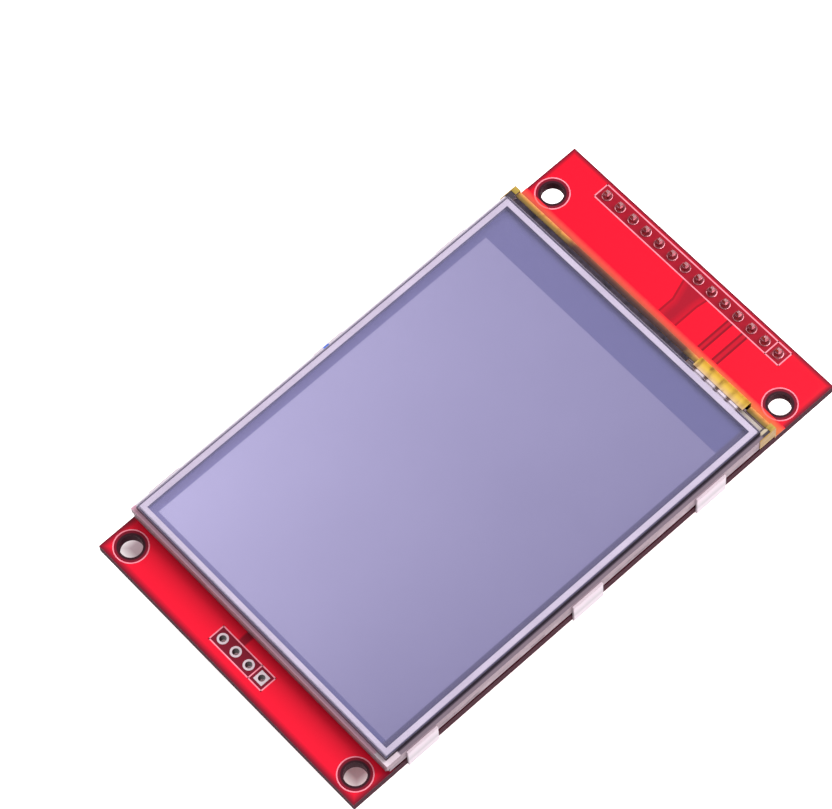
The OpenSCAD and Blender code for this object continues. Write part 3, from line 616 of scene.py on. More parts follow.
@dataclass(frozen=True)
class SolderMask:
    """Glossy red mask over the board, darker where no copper lies under it and in painted shade.

    Attributes:
        copper: Colour over copper.
        cloud: Colour of its mottling.
        card_end_shade: Colour over copper at the card end, a painted shade.
        bare: Colour where the laminate shows through.
        row: Colour between the soldered pads.
        core: Colour of the cut edges and hole walls.
        weave: Colour of the glass cloth in them.
        lip: Colour of the narrow lip between the housing and the right edge, a painted shade.
        gap: Colour of the narrow gaps beside a track.
        rim: Colour of the laminate left without mask round a hole.
        border: Width of the copper's setback from the board's edge.
        border_blur: Softness of that border.
        ring: Radius of the copper's setback from a mounting hole.
        open_ring: Radius of the mask's opening there.
        lip_width: Width of the lip.
        clouds: Strength of the mottling and its middle.
        card_blur: Distance over which that painted shade sets in.
        cloth: Size of the cloth's weave.
        cloth_stretch: Squeeze of the weave along each axis.
        step: Share of the relief that the copper's edge makes.
        cut: How much rougher a cut edge is.
        blur: Softness of a printed edge.
        texture: Mottling, relief and shine of the mask.
        tracks: The tracks under it.
    """

    copper: Rgb = (242, 9, 40)
    cloud: Rgb = (226, 8, 38)
    card_end_shade: Rgb = (218, 14, 44)
    bare: Rgb = (112, 12, 34)
    row: Rgb = (146, 12, 34)
    core: Rgb = (50, 14, 28)
    weave: Rgb = (68, 24, 40)
    lip: Rgb = (60, 12, 26)
    gap: Rgb = (128, 6, 28)
    rim: Rgb = (46, 12, 24)
    border: float = 0.6
    border_blur: float = 0.9
    ring: float = 2.3
    open_ring: float = 1.95
    lip_width: float = 0.4
    clouds: tuple[float, float] = (1.6, 0.3)
    card_blur: float = 20.0
    cloth: float = 0.5
    cloth_stretch: tuple[float, float, float] = (0.4, 0.4, 3.0)
    step: float = 0.8
    cut: float = 0.4
    blur: float = 0.12
    texture: Texture = Texture(0.36, 0.12, 0.03, spot=9.0, grain=1.6)
    tracks: Tracks = Tracks()

    def build(self, board: "BoardSizes") -> bpy.types.Material:
        """Build the material.

        Args:
            board: Where the holes, rows and edges lie.

        Returns:
            The material.
        """
        paint = Painter("red_solder_mask")
        look = self.texture
        far = paint.from_holes(board.hole_x, abs(paint.y) - board.hole_y)
        edge = paint.box_edge(board.x0, board.x1, board.y0, board.y1)
        bare = (self.ring - far).inside(self.blur)
        bare = bare.most((self.border - edge).inside(self.border_blur))
        bare = bare.most(paint.box_edge(*board.small_row).inside(self.blur))
        soldered = paint.box_edge(*board.header_row).inside(self.blur)
        gaps, strips = self.tracks.masks(paint, board)
        front = (paint.z - board.top / 2).inside(Blur.CRISP)
        cloud = paint.noise(look.spot).contrast(*self.clouds)
        skin = paint.blend(self.copper, self.cloud, cloud)
        # Painted shade: the red darkens towards the card end.
        skin = paint.blend(skin, self.card_end_shade, (paint.y * -1).inside(self.card_blur))
        skin = paint.blend(skin, self.bare, bare.most(strips * front).held())
        skin = paint.blend(skin, self.row, soldered)
        skin = paint.blend(skin, self.gap, (gaps * front).held())
        # Painted shade on the narrow lip between the housing and the right edge.
        lip = (paint.x - board.x1 + self.lip_width).inside(Blur.CRISP)
        lip = lip * (board.housing_y - abs(paint.y)).inside(Blur.SOFT)
        skin = paint.blend(skin, self.lip, (lip * front).held())
        skin = paint.blend(skin, self.rim, (self.open_ring - far).inside(self.blur))
        wall = paint.z.between(look.depth, board.top - look.depth).inside()
        weave = paint.noise(self.cloth, Detail.HIGH, self.cloth_stretch)
        skin = paint.blend(skin, paint.blend(self.core, self.weave, weave), wall)
        ripple = paint.noise(look.grain, Detail.LOW) * (1 - self.step)
        relief = (1 - bare.most(soldered)) * self.step + ripple
        return look.finish(paint, skin, relief, wall * self.cut)


@dataclass(frozen=True)
class PadFinish:
    """Bright tinned pads, with painted shade on their hole walls.

    Attributes:
        face: Colour of the pads.
        dull: Colour of their dull spots.
        wall: Colour of the hole walls, a painted shade in place of the tin.
        metallic: How metallic the faces look.
        texture: Spots, relief and shine of the tin.
    """

    face: Rgb = (206, 184, 192)
    dull: Rgb = (178, 168, 174)
    wall: Rgb = (58, 32, 42)
    metallic: float = 0.3
    texture: Texture = Texture(0.35, 0.1, 0.02, spot=0.6)

    def build(self, board_top: float) -> bpy.types.Material:
        """Build the material for a board whose front lies at a height."""
        paint = Painter("tinned_pads")
        # deep marks the hole walls, painted dark and dull as shade.
        deep = paint.z.between(Blur.CUT, board_top - Blur.CUT).inside()
        wear = paint.noise(self.texture.spot)
        face = paint.blend(self.face, self.dull, wear)
        return self.texture.finish(paint, paint.blend(face, self.wall, deep), wear,
                                   metallic=(1 - deep) * self.metallic)


@dataclass(frozen=True)
class PinFinish:
    """Gold plated pins whose front ends are wetted with solder, tinted with a painted red
    reflection.

    Attributes:
        gold: Colour of the plating.
        worn: Colour of its worn spots.
        solder: Colour of the wetted ends, with a painted reflection of the red board.
        wear: How much rougher a worn spot is.
        texture: Spots, relief and shine of the plating.
    """

    gold: Rgb = (232, 196, 110)
    worn: Rgb = (190, 146, 66)
    solder: Rgb = (166, 116, 122)
    wear: float = 0.12
    texture: Texture = Texture(0.2, 0.5, 0.02, spot=0.5, grain=0.25)

    def build(self, board_top: float) -> bpy.types.Material:
        """Build the material for a board whose front lies at a height."""
        paint = Painter("pin_plating")
        # The wetted ends carry the painted red reflection of the board.
        wet = (paint.z - board_top).inside(Blur.MELTED)
        wear = paint.noise(self.texture.spot)
        gold = paint.blend(self.gold, self.worn, wear)
        return self.texture.finish(paint, paint.blend(gold, self.solder, wet),
                                   wear=wear * self.wear, metallic=1.0)


@dataclass(frozen=True)
class ClearPanel:
    """A clear sheet of the touch panel: a faint veil with cut edges in painted light and shade.

    Attributes:
        name: Name of the material.
        veil: Tint of the sheet.
        cut: Tint of its edge on the right, a painted shade.
        card_edge_shade: Tint of its edge at the card end, a lighter painted shade.
        far_edge_light: Tint of its edge on the left and at the header end, painted light.
        opacity: Opacity of the veil.
        texture: Its faint waves and its shine.
        lip: Width of the opaque cut edge.
        cut_wear: How much rougher that edge is.
    """

    name: str
    veil: Rgb
    cut: Rgb
    card_edge_shade: Rgb
    far_edge_light: Rgb
    opacity: float
    texture: Texture
    lip: float = 0.02
    cut_wear: float = 0.3

    def build(self, low: Vector, high: Vector) -> bpy.types.Material:
        """Build the material for a sheet that fills a box."""
        paint = Painter(self.name)
        x0, x1, y0, y1 = in_mm(low.x, high.x, low.y, high.y)
        edge = (self.lip - paint.box_edge(x0, x1, y0, y1)).inside(Blur.SHEET)
        card = (y0 + self.lip - paint.y).inside(Blur.SHEET)
        far = (x0 + self.lip - paint.x).most(paint.y - y1 + self.lip).inside(Blur.SHEET)
        # The edge tint is painted light and shade, changing by side.
        cut = paint.blend(paint.blend(self.cut, self.card_edge_shade, card), self.far_edge_light, far)
        return self.texture.finish(paint, paint.blend(self.veil, cut, edge),
                                   paint.noise(self.texture.grain, Detail.EVEN),
                                   edge * self.cut_wear,
                                   Alpha=self.opacity + edge * (1 - self.opacity))


@dataclass(frozen=True)
class PictureArea:
    """The polarizer under the touch panel: a pale switched-off picture area in a dark margin.

    Attributes:
        pale: Colour under the painted reflection's brightest part, in one corner of the card end.
        deep: Its colour in the opposite corner, where the painted reflection has faded.
        margin_reflection: Colour of the margin beside the brightest corner, under the painted
            reflection.
        margin: Colour of the rest of the margin.
        right_margin_shade: Colour of the margin on the right, a painted shade.
        window: Picture area in millimetres: x0, x1, y0, y1.
        blur: Softness of its edge.
        right_blur: Distance over which the right margin's colour sets in.
        far_reflection_share: Share of the painted reflection that is left at the header end.
        clouds: Strength of the faint clouds.
        texture: Clouds, faint waves and shine of the sheet.
    """

    pale: Rgb = (182, 175, 216)
    deep: Rgb = (124, 119, 157)
    margin_reflection: Rgb = (128, 122, 170)
    margin: Rgb = (90, 89, 137)
    right_margin_shade: Rgb = (78, 72, 104)
    window: tuple[float, float, float, float] = (-22.1, 22.2, -32.7, 25.9)
    blur: float = 0.15
    right_blur: float = 0.4
    far_reflection_share: float = 0.3
    clouds: float = 0.12
    texture: Texture = Texture(0.3, 0.2, 0.02, spot=16.0, grain=40.0)

    def build(self) -> bpy.types.Material:
        """Build the material."""
        paint = Painter("picture_area")
        x0, x1, y0, y1 = self.window
        lit = paint.box_edge(x0, x1, y0, y1).inside(self.blur)
        # across and along shape a painted reflection of a soft lamp, brightest in one corner of the
        # card end.
        across = ((x1 - paint.x) / (x1 - x0)).held()
        along = ((y1 - paint.y) / (y1 - y0)).held()
        clouds = (paint.noise(self.texture.spot, Detail.LOW) - 0.5) * self.clouds
        share = (across * (along * (1 - self.far_reflection_share) + self.far_reflection_share) + clouds).held()
        picture = paint.blend(self.deep, self.pale, share)
        margin = paint.blend(self.margin, self.margin_reflection, share)
        # Painted shade along the right margin.
        margin = paint.blend(margin, self.right_margin_shade, (paint.x - x1).inside(self.right_blur))
        return self.texture.finish(paint, paint.blend(margin, picture, lit),
                                   paint.noise(self.texture.grain, Detail.EVEN))


@dataclass(frozen=True)
class ShelfGlass:
    """The display glass, pale on the bare shelf and shaded where the black tape ends.

    Attributes:
        pale: Colour of the bare shelf.
        dull: Colour of its mottling.
        shaded: Colour beside the black tape.
        shaded_to: Where along X the shade ends.
        shade_blur: Softness of its end.
        spots: Strength of the mottling and its middle.
        texture: Mottling, relief and shine of the glass.
    """

    pale: Rgb = (182, 170, 160)
    dull: Rgb = (150, 140, 134)
    shaded: Rgb = (96, 84, 90)
    shaded_to: float = 11.2
    shade_blur: float = 0.8
    spots: tuple[float, float] = (1.6, 0.4)
    texture: Texture = Texture(0.2, 0.3, 0.01, spot=1.2)

    def build(self) -> bpy.types.Material:
        """Build the material."""
        paint = Painter("shelf_glass")
        shade = (self.shaded_to - paint.x).inside(self.shade_blur)
        mottle = paint.noise(self.texture.spot)
        glass = paint.blend(self.pale, self.dull, mottle.contrast(*self.spots))
        return self.texture.finish(paint, paint.blend(glass, self.shaded, shade), mottle)


@dataclass(frozen=True)
class TailFinish:
    """The flexible tail: dark film with a pale printed pad round each conductor.

    Attributes:
        film: Colour of the film.
        dark: Colour of its mottling.
        pad: Colour of the pads.
        pitch: Pitch of the conductors.
        gap: Width of the film between pads as a share of the pitch.
        half_row: Half the width of the row of pads.
        pad_drop: How far the pads reach down from the tail's top.
        texture: Mottling, relief and shine of the film.
    """

    film: Rgb = (92, 68, 62)
    dark: Rgb = (70, 50, 46)
    pad: Rgb = (196, 182, 192)
    pitch: float = 2.1
    gap: float = 0.32
    half_row: float = 3.9
    pad_drop: float = 0.3
    texture: Texture = Texture(0.4, 0.2, 0.01, spot=1.0)

    def build(self, low: Vector, high: Vector) -> bpy.types.Material:
        """Build the material for a tail that fills a box."""
        paint = Painter("tail_film")
        x0, x1, top = in_mm(low.x, high.x, high.z)
        middle = (x0 + x1) / 2
        film = paint.gaps(middle, self.pitch, self.gap)
        film = film.most((abs(paint.x - middle) - self.half_row).inside(Blur.TAPED))
        film = film.most((top - self.pad_drop - paint.z).inside(Blur.CRISP))
        mottle = paint.noise(self.texture.spot)
        dark = paint.blend(self.film, self.dark, mottle)
        return self.texture.finish(paint, paint.blend(self.pad, dark, film), mottle)


@dataclass(frozen=True)
class FrameFinish:
    """The white moulded frame, with a grey tape on its top rim, paler on two sides as painted
    light.

    Attributes:
        wall: Colour of its sides.
        soiled: Colour of their darker patches.
        patches: Strength of the patches and their middle.
        patch_stretch: Squeeze of the patches along each axis.
        rim_drop: How far the tape reaches down from the top.
        right_rim: Colour of the rim on the side of the light's far end.
        seam_shadow: Colour of the right rim close to the touch panel, a painted shadow of the
            panel's edge.
        seam_in: Where that begins, in millimetres from the rim's outer edge.
        seam_blur: Softness of its beginning.
        left_rim_light: Colour of the rim opposite, painted light.
        card_rim_light: Colour of the rim at the card end, painted light.
        card_width: Width of that rim.
        head_rim: Colour of the rim beyond the touch panel.
        post_rim: Colour of the inner half of the right post beyond it.
        post_in: Where that half begins and ends, in millimetres from the post's outer side.
        bare: Colour of the corner that the tape leaves free.
        corner: Size of that corner.
        pen: Colour of a small pen mark on one side.
        mark: Place of the mark along Y and its radius.
        texture: Patches, relief and shine of the plastic.
    """

    wall: Rgb = (162, 139, 150)
    soiled: Rgb = (132, 111, 121)
    patches: tuple[float, float] = (1.8, 0.3)
    patch_stretch: tuple[float, float, float] = (1, 0.4, 1)
    rim_drop: float = 0.05
    right_rim: Rgb = (120, 104, 116)
    seam_shadow: Rgb = (56, 46, 58)
    seam_in: float = 0.5
    seam_blur: float = 0.15
    left_rim_light: Rgb = (212, 204, 214)
    card_rim_light: Rgb = (196, 150, 168)
    card_width: float = 0.8
    head_rim: Rgb = (58, 50, 58)
    post_rim: Rgb = (176, 162, 140)
    post_in: tuple[float, float] = (0.45, 0.9)
    bare: Rgb = (206, 188, 198)
    corner: float = 2.4
    pen: Rgb = (60, 110, 214)
    mark: tuple[float, float] = (-0.6, 0.5)
    texture: Texture = Texture(0.5, 0.2, 0.01, spot=3.0, grain=0.3)

    def build(self, low: Vector, high: Vector, touch_end: float) -> bpy.types.Material:
        """Build the material.

        Args:
            low: One corner of the box that the frame fills.
            high: The opposite corner.
            touch_end: Where along Y the touch panel ends.

        Returns:
            The material.
        """
        paint = Painter("white_frame")
        x0, x1, y0, top = in_mm(low.x, high.x, low.y, high.z)
        left, right, front = paint.x - x0, x1 - paint.x, paint.y - y0
        rim = (paint.z - (top - self.rim_drop)).inside()
        patch = paint.noise(self.texture.spot, Detail.MIDDLE, self.patch_stretch)
        wall = paint.blend(self.wall, self.soiled, patch.contrast(*self.patches))
        # Painted shadow of the touch panel's edge on the inner part of the right rim.
        seam_shadow = (right - self.seam_in).inside(self.seam_blur)
        tape = paint.blend(self.right_rim, self.seam_shadow, seam_shadow)
        # Painted light makes the rim paler on the left and at the card end.
        tape = paint.blend(tape, self.left_rim_light, (-1 * paint.x).inside(Blur.SOFT))
        tape = paint.blend(tape, self.card_rim_light, (self.card_width - front).inside(Blur.TAPED))
        along, across = ((self.corner - side).inside(Blur.TAPED) for side in (front, right))
        tape = paint.blend(tape, self.bare, across * along)
        post = right.between(*self.post_in).inside(Blur.CRISP)
        head = paint.blend(self.head_rim, self.post_rim, post)
        tape = paint.blend(tape, head, (paint.y - touch_end).inside(Blur.MELTED))
        spot_y, radius = self.mark
        far = (left ** 2 + (paint.y - spot_y) ** 2 + (paint.z - top) ** 2).root()
        skin = paint.blend(wall, tape, rim)
        skin = paint.blend(skin, self.pen, (radius - far).inside(Blur.CRISP))
        return self.texture.finish(paint, skin)


@dataclass(frozen=True)
class SideTape:
    """White foam tape on the housing's side, with painted shade at its fold by the board, darker on
    top.

    Attributes:
        height: Colours from its lower end to its top face: painted shade at the fold, darker on
            top.
        grey: Colour of its mottling.
        mottling: Strength of the mottling.
        texture: Mottling, relief and shine of the foam.
    """

    height: Stops = ((0.0, (232, 218, 228)), (0.33, (228, 214, 224)), (0.44, (204, 192, 201)),
                     (0.55, (211, 199, 208)), (0.68, (224, 210, 220)), (0.8, (232, 215, 227)),
                     (0.94, (220, 202, 213)), (1.0, (197, 179, 189)))
    grey: Rgb = (196, 184, 192)
    mottling: float = 0.2
    texture: Texture = Texture(0.6, 0.3, 0.02, spot=2.0, grain=0.3)

    def build(self, low: Vector, high: Vector) -> bpy.types.Material:
        """Build the material for tapes that fill a box."""
        paint = Painter("side_foam")
        bottom, top = in_mm(low.z, high.z)
        rise = ((paint.z - bottom) / (top - bottom)).held()
        mottle = paint.noise(self.texture.spot) * self.mottling
        # The height ramp holds painted shade at the fold and darkens towards the top.
        foam = paint.blend(paint.ramp(rise, self.height), self.grey, mottle)
        return self.texture.finish(paint, foam)


@dataclass(frozen=True)
class AmberFilm:
    """Translucent amber adhesive film that takes on the colour of what lies under it.

    Attributes:
        over_black: Colours over the black tape, from the edge towards the fold.
        over_glass: Colours over the bare ends of the shelf.
        over_tail: Colours over the tail.
        over_post: Colours over the corner posts.
        over_board: Colours of the foot, from the wall outwards.
        foot_end: Colour of the foot beside the hood.
        ring: Colour of a printed ring seen through the foot.
        flap: Colour of the flaps on the sides of the housing.
        crease_shade_and_gaps: Colour of the painted shade in its creases and of the conductor gaps
            seen through it.
        black_run: Where along X it lies on plain black.
        black_edge: Spot size and reach of the ragged edge of that, and its softness.
        top_width: Width of the part on top of the housing.
        foot_width: Width of the foot.
        foot_stain: Distance over which the foot's end colour sets in, its fall and strength.
        hood: Width of the hood over the tail, its rise and its overhang.
        post_width: Width of a corner post.
        stripes: Pitch of the conductors that show through over the tail, in millimetres, the
            share of it between two, the softness of that and its strength.
        ring_line: Half the width of the printed ring, its softness and its strength.
        rise: Steepness of the change from the foot's to the top's colour, and its start.
        flap_rise: Steepness of that from the foot's to the flaps' colour.
        creases: Steepness, middle and strength of the painted shade in the creases, and how fast it
            sets in.
        fold_stretch: Squeeze of the folds along each axis.
        texture: Folds and shine of the film.
    """

    over_black: Stops = ((0.0, (48, 36, 42)), (0.5, (72, 47, 43)), (0.9, (114, 63, 50)),
                         (1.0, (134, 75, 56)))
    over_glass: Stops = ((0.0, (98, 84, 50)), (0.5, (132, 102, 50)), (0.9, (196, 132, 70)),
                         (1.0, (204, 138, 78)))
    over_tail: Stops = ((0.0, (196, 166, 132)), (0.22, (196, 160, 96)), (0.5, (200, 164, 66)),
                        (0.85, (182, 134, 40)), (1.0, (196, 136, 52)))
    over_post: Stops = ((0.0, (140, 118, 54)), (1.0, (172, 144, 66)))
    over_board: Stops = ((0.0, (134, 74, 54)), (0.3, (164, 78, 58)), (0.6, (196, 76, 60)),
                         (0.8, (214, 62, 58)), (1.0, (224, 22, 44)))
    foot_end: Rgb = (206, 122, 58)
    ring: Rgb = (226, 112, 112)
    flap: Rgb = (164, 128, 66)
    crease_shade_and_gaps: Rgb = (96, 64, 26)
    black_run: tuple[float, float] = (-14.0, 9.2)
    black_edge: tuple[float, float, float] = (1.2, 3.0, 2.5)
    top_width: float = 0.85
    foot_width: float = 2.0
    foot_stain: tuple[float, float, float] = (4.0, 1.7, 0.6)
    hood: tuple[float, float, float] = (1.6, 0.2, 0.4)
    post_width: float = 0.95
    stripes: tuple[float, float, float, float] = (2.1, 0.34, 0.2, 0.3)
    ring_line: tuple[float, float, float] = (0.1, 0.06, 0.8)
    rise: tuple[float, float] = (1.4, 0.3)
    flap_rise: float = 6.0
    creases: tuple[float, float, float, float] = (7.0, 0.55, 0.65, 4.0)
    fold_stretch: tuple[float, float, float] = (1, 0.5, 1)
    texture: Texture = Texture(0.35, 0.12, 0.1, spot=1.1)

    def top_skin(self, paint: Painter, housing: "Housing", dark: Term) -> bpy.types.NodeSocket:
        """Colour of the part on top of the housing.

        Args:
            paint: The material that it is drawn in.
            housing: What lies under the film.
            dark: Mask of the plain black under it.

        Returns:
            The colour's socket.
        """
        start = housing.end - self.top_width
        on_top = ((paint.y - start) / self.top_width).held()
        top = paint.blend(paint.ramp(on_top, self.over_glass), paint.ramp(on_top, self.over_black),
                          dark)
        width, lift, over = self.hood
        hood_run = ((paint.y - (housing.end - width)) / width).held()
        left, right = housing.tail
        pitch, share, blur, strength = self.stripes
        lines = paint.gaps((left + right) / 2, pitch, share, blur) * strength
        hood = paint.blend(paint.ramp(hood_run, self.over_tail), self.crease_shade_and_gaps, lines)
        raised = (paint.z - housing.level - lift).inside(Blur.CRISP)
        beside = paint.x.between(left - over, right + over).inside(Blur.TAPED)
        top = paint.blend(top, hood, (raised * beside).held())
        post = (housing.off_axis(paint) + self.post_width).inside(Blur.CRISP)
        post = post * (paint.z - housing.rim + Blur.CRISP).inside(Blur.CRISP)
        return paint.blend(top, paint.ramp(on_top, self.over_post), post)

    def foot_skin(self, paint: Painter, housing: "Housing",
                  board: "BoardSizes") -> bpy.types.NodeSocket:
        """Colour of the foot on the board.

        Args:
            paint: The material that it is drawn in.
            housing: Where the foot starts.
            board: What lies under the foot.

        Returns:
            The colour's socket.
        """
        out = ((paint.y - housing.end) / self.foot_width).held()
        blur, fall, strength = self.foot_stain
        stain = (paint.x - self.black_run[1]).inside(blur) * ((1 - out) * fall).held()
        foot = paint.blend(paint.ramp(out, self.over_board), self.foot_end, stain * strength)
        half, blur, strength = self.ring_line
        far = paint.from_holes(board.hole_x, paint.y - board.hole_y)
        ring = (half - abs(far - board.ring_radius)).inside(blur) * strength
        return paint.blend(foot, self.ring, ring)

    def build(self, housing: "Housing", board: "BoardSizes") -> bpy.types.Material:
        """Build the material.

        Args:
            housing: The housing that the film is wrapped round.
            board: The board that its foot stands on.

        Returns:
            The material.
        """
        paint = Painter("amber_film")
        size, reach, blur = self.black_edge
        ragged = (paint.noise(size, Detail.LOW) - 0.5) * reach
        dark = (paint.x.between(*self.black_run) + ragged).inside(blur)
        rise = ((paint.z - board.top) / (housing.level - board.top)).held()
        steep, start = self.rise
        skin = paint.blend(self.foot_skin(paint, housing, board),
                           self.top_skin(paint, housing, dark), (rise * steep - start).held())
        side = housing.off_axis(paint).inside()
        skin = paint.blend(skin, self.flap, side * (rise * self.flap_rise).held())
        folds = paint.noise(self.texture.spot, Detail.MIDDLE, self.fold_stretch)
        steep, middle, strength, start = self.creases
        # Painted shade along the creases of the folds.
        crease_shade_and_gaps = ((folds - middle) * steep).held() * (1 - dark) * (rise * start - 1).held()
        skin = paint.blend(skin, self.crease_shade_and_gaps, crease_shade_and_gaps * strength)
        return self.texture.finish(paint, skin, folds)


# ---- Meshes ----------------------------------------------------------------------------------


def dress_node(name: str, material: bpy.types.Material) -> None:
    """Give a solid of the frame its finish."""
    solid = frame["nodes"][name]
    solid.data.materials.clear()
    solid.data.materials.append(material)
    log.info("dressed %s with %s", name, material.name)


def dress_plain(**finishes: Sheen) -> None:
    """Give each named solid of the frame its plain finish."""
    for name, sheen in finishes.items():
        dress_node(name, sheen.value.build())


def add_piece(name: str, mesh: bmesh.types.BMesh, material: bpy.types.Material) -> bpy.types.Object:
    """Turn a mesh into a piece of the object.

    Args:
        name: Name of the piece.
        mesh: Its faces in millimetres, in the frame of the part.
        material: Its finish.

    Returns:
        The piece.
    """
    bmesh.ops.scale(mesh, vec=(MM, MM, MM), verts=mesh.verts)
    bmesh.ops.recalc_face_normals(mesh, faces=mesh.faces)
    data = bpy.data.meshes.new(name)
    mesh.to_mesh(data)
    mesh.free()
    data.materials.append(material)
    piece = bpy.data.objects.new(name, data)
    bpy.context.scene.collection.objects.link(piece)
    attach(piece, ROOT)
    log.info("made %s with %d faces", name, len(data.polygons))
    return piece


def add_bar(mesh: bmesh.types.BMesh, start: tuple[float, float], end: tuple[float, float],
            z: float, width: float, height: float) -> None:
    """Add a flat printed line with square ends between two points, in millimetres."""
    (x0, y0), (x1, y1) = start, end
    length = math.hypot(x1 - x0, y1 - y0)
    turn = Matrix.Rotation(math.atan2(y1 - y0, x1 - x0), 4, "Z")
    place = Matrix.Translation(((x0 + x1) / 2, (y0 + y1) / 2, z + height / 2))
    size = Matrix.Diagonal((length + width, width, height, 1))
    bmesh.ops.create_cube(mesh, size=1.0, matrix=place @ turn @ size)


# ---- Sub-assemblies --------------------------------------------------------------------------


@dataclass
class BoardSizes:
    """Where things lie on the board, in millimetres, read from the frame."""

    x0: float
    x1: float
    y0: float
    y1: float
    top: float
    hole_x: float
    hole_y: float
    header_row: tuple[float, ...]
    small_row: tuple[float, ...]
    housing_y: float
    ring_radius: float = 2.4

    @classmethod
    def from_frame(cls, pitch: float = 2.54, gap: float = 0.4) -> "BoardSizes":
        """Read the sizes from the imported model.

        Args:
            pitch: Pitch of the rows of pads, in millimetres.
            gap: Width of the gap between two pads as a share of the pitch.

        Returns:
            The sizes.
        """
        low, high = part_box("board")
        holes = next(m for m in frame["record"]["mounts"] if m["name"] == "board_holes")["dims"]
        rows = []
        for name in ("header_pads", "row_pads"):
            start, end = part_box(name)
            x0, x1, y0, y1 = in_mm(start.x, end.x, start.y, end.y)
            half = round((x1 - x0) / pitch + gap) * pitch / 2
            middle = (y0 + y1) / 2
            rows.append((-half, half, middle - pitch / 2, middle + pitch / 2))
        return cls(*in_mm(low.x, high.x, low.y, high.y, high.z), holes["spacing_x_mm"] / 2,
                   holes["spacing_y_mm"] / 2, *rows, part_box("light_frame")[1].y / MM)


@dataclass
class Housing:
    """Where things lie on the display's housing, in millimetres, read from the frame."""

    x0: float
    x1: float
    end: float
    rim: float
    tail: tuple[float, ...]
    level: float

    @classmethod
    def from_frame(cls) -> "Housing":
        """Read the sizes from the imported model."""
        low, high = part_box("light_frame")
        tail = in_mm(*(corner.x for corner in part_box("touch_tail")))
        return cls(*in_mm(low.x, high.x, high.y, high.z), tail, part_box("shelf_tape")[1].z / MM)

    def off_axis(self, paint: Painter) -> Term:
        """Distance beyond the housing's two long sides, below 0 between them."""
        return abs(paint.x - (self.x0 + self.x1) / 2) - (self.x1 - self.x0) / 2


@dataclass
class Board:
    """The red carrier board with its plated rows, pin header and print."""

    sizes: BoardSizes
    mask: SolderMask = SolderMask()
    line: float = 0.18
    ink: float = 0.02
    ink_slot: str = "white_film"

    def build(self) -> None:
        """Dress the board's solids and print its lines."""
        dress_node("board", self.mask.build(self.sizes))
        dress_node("row_pads", PadFinish().build(self.sizes.top))
        dress_plain(header_pads=Sheen.WETTED_PAD, header_solder=Sheen.SOLDER)
        dress_node("header_pins", PinFinish().build(self.sizes.top))
        dress_plain(header_bar=Sheen.BLACK_PLASTIC)
        self.print_rings()
        self.print_rows()

    def print_rings(self) -> None:
        """Print a ring round each mounting hole, with Geometry Nodes."""
        tree = RingTree("printed_rings", Sheen.PRINT.value.build())
        sizes = self.sizes
        piece = tree.make(spacing=(2 * sizes.hole_x * MM, 2 * sizes.hole_y * MM),
                          radius=sizes.ring_radius * MM, width=self.line * MM,
                          height=self.ink * MM, level=(sizes.top + self.ink / 2) * MM)
        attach(piece, ROOT)

    def print_rows(self) -> None:
        """Print the box round each row of pads and the line beside its first pad."""
        mesh = bmesh.new()
        for x0, x1, y0, y1 in (self.sizes.header_row, self.sizes.small_row):
            first = x1 - (y1 - y0)
            corners = [(x0, y0), (x1, y0), (x1, y1), (x0, y1)]
            lines = [*zip(corners, corners[1:] + corners[:1]), ((first, y0), (first, y1))]
            for start, end in lines:
                add_bar(mesh, start, end, self.sizes.top, self.line, self.ink)
        add_piece("printed_rows", mesh, Sheen.PRINT.value.build())


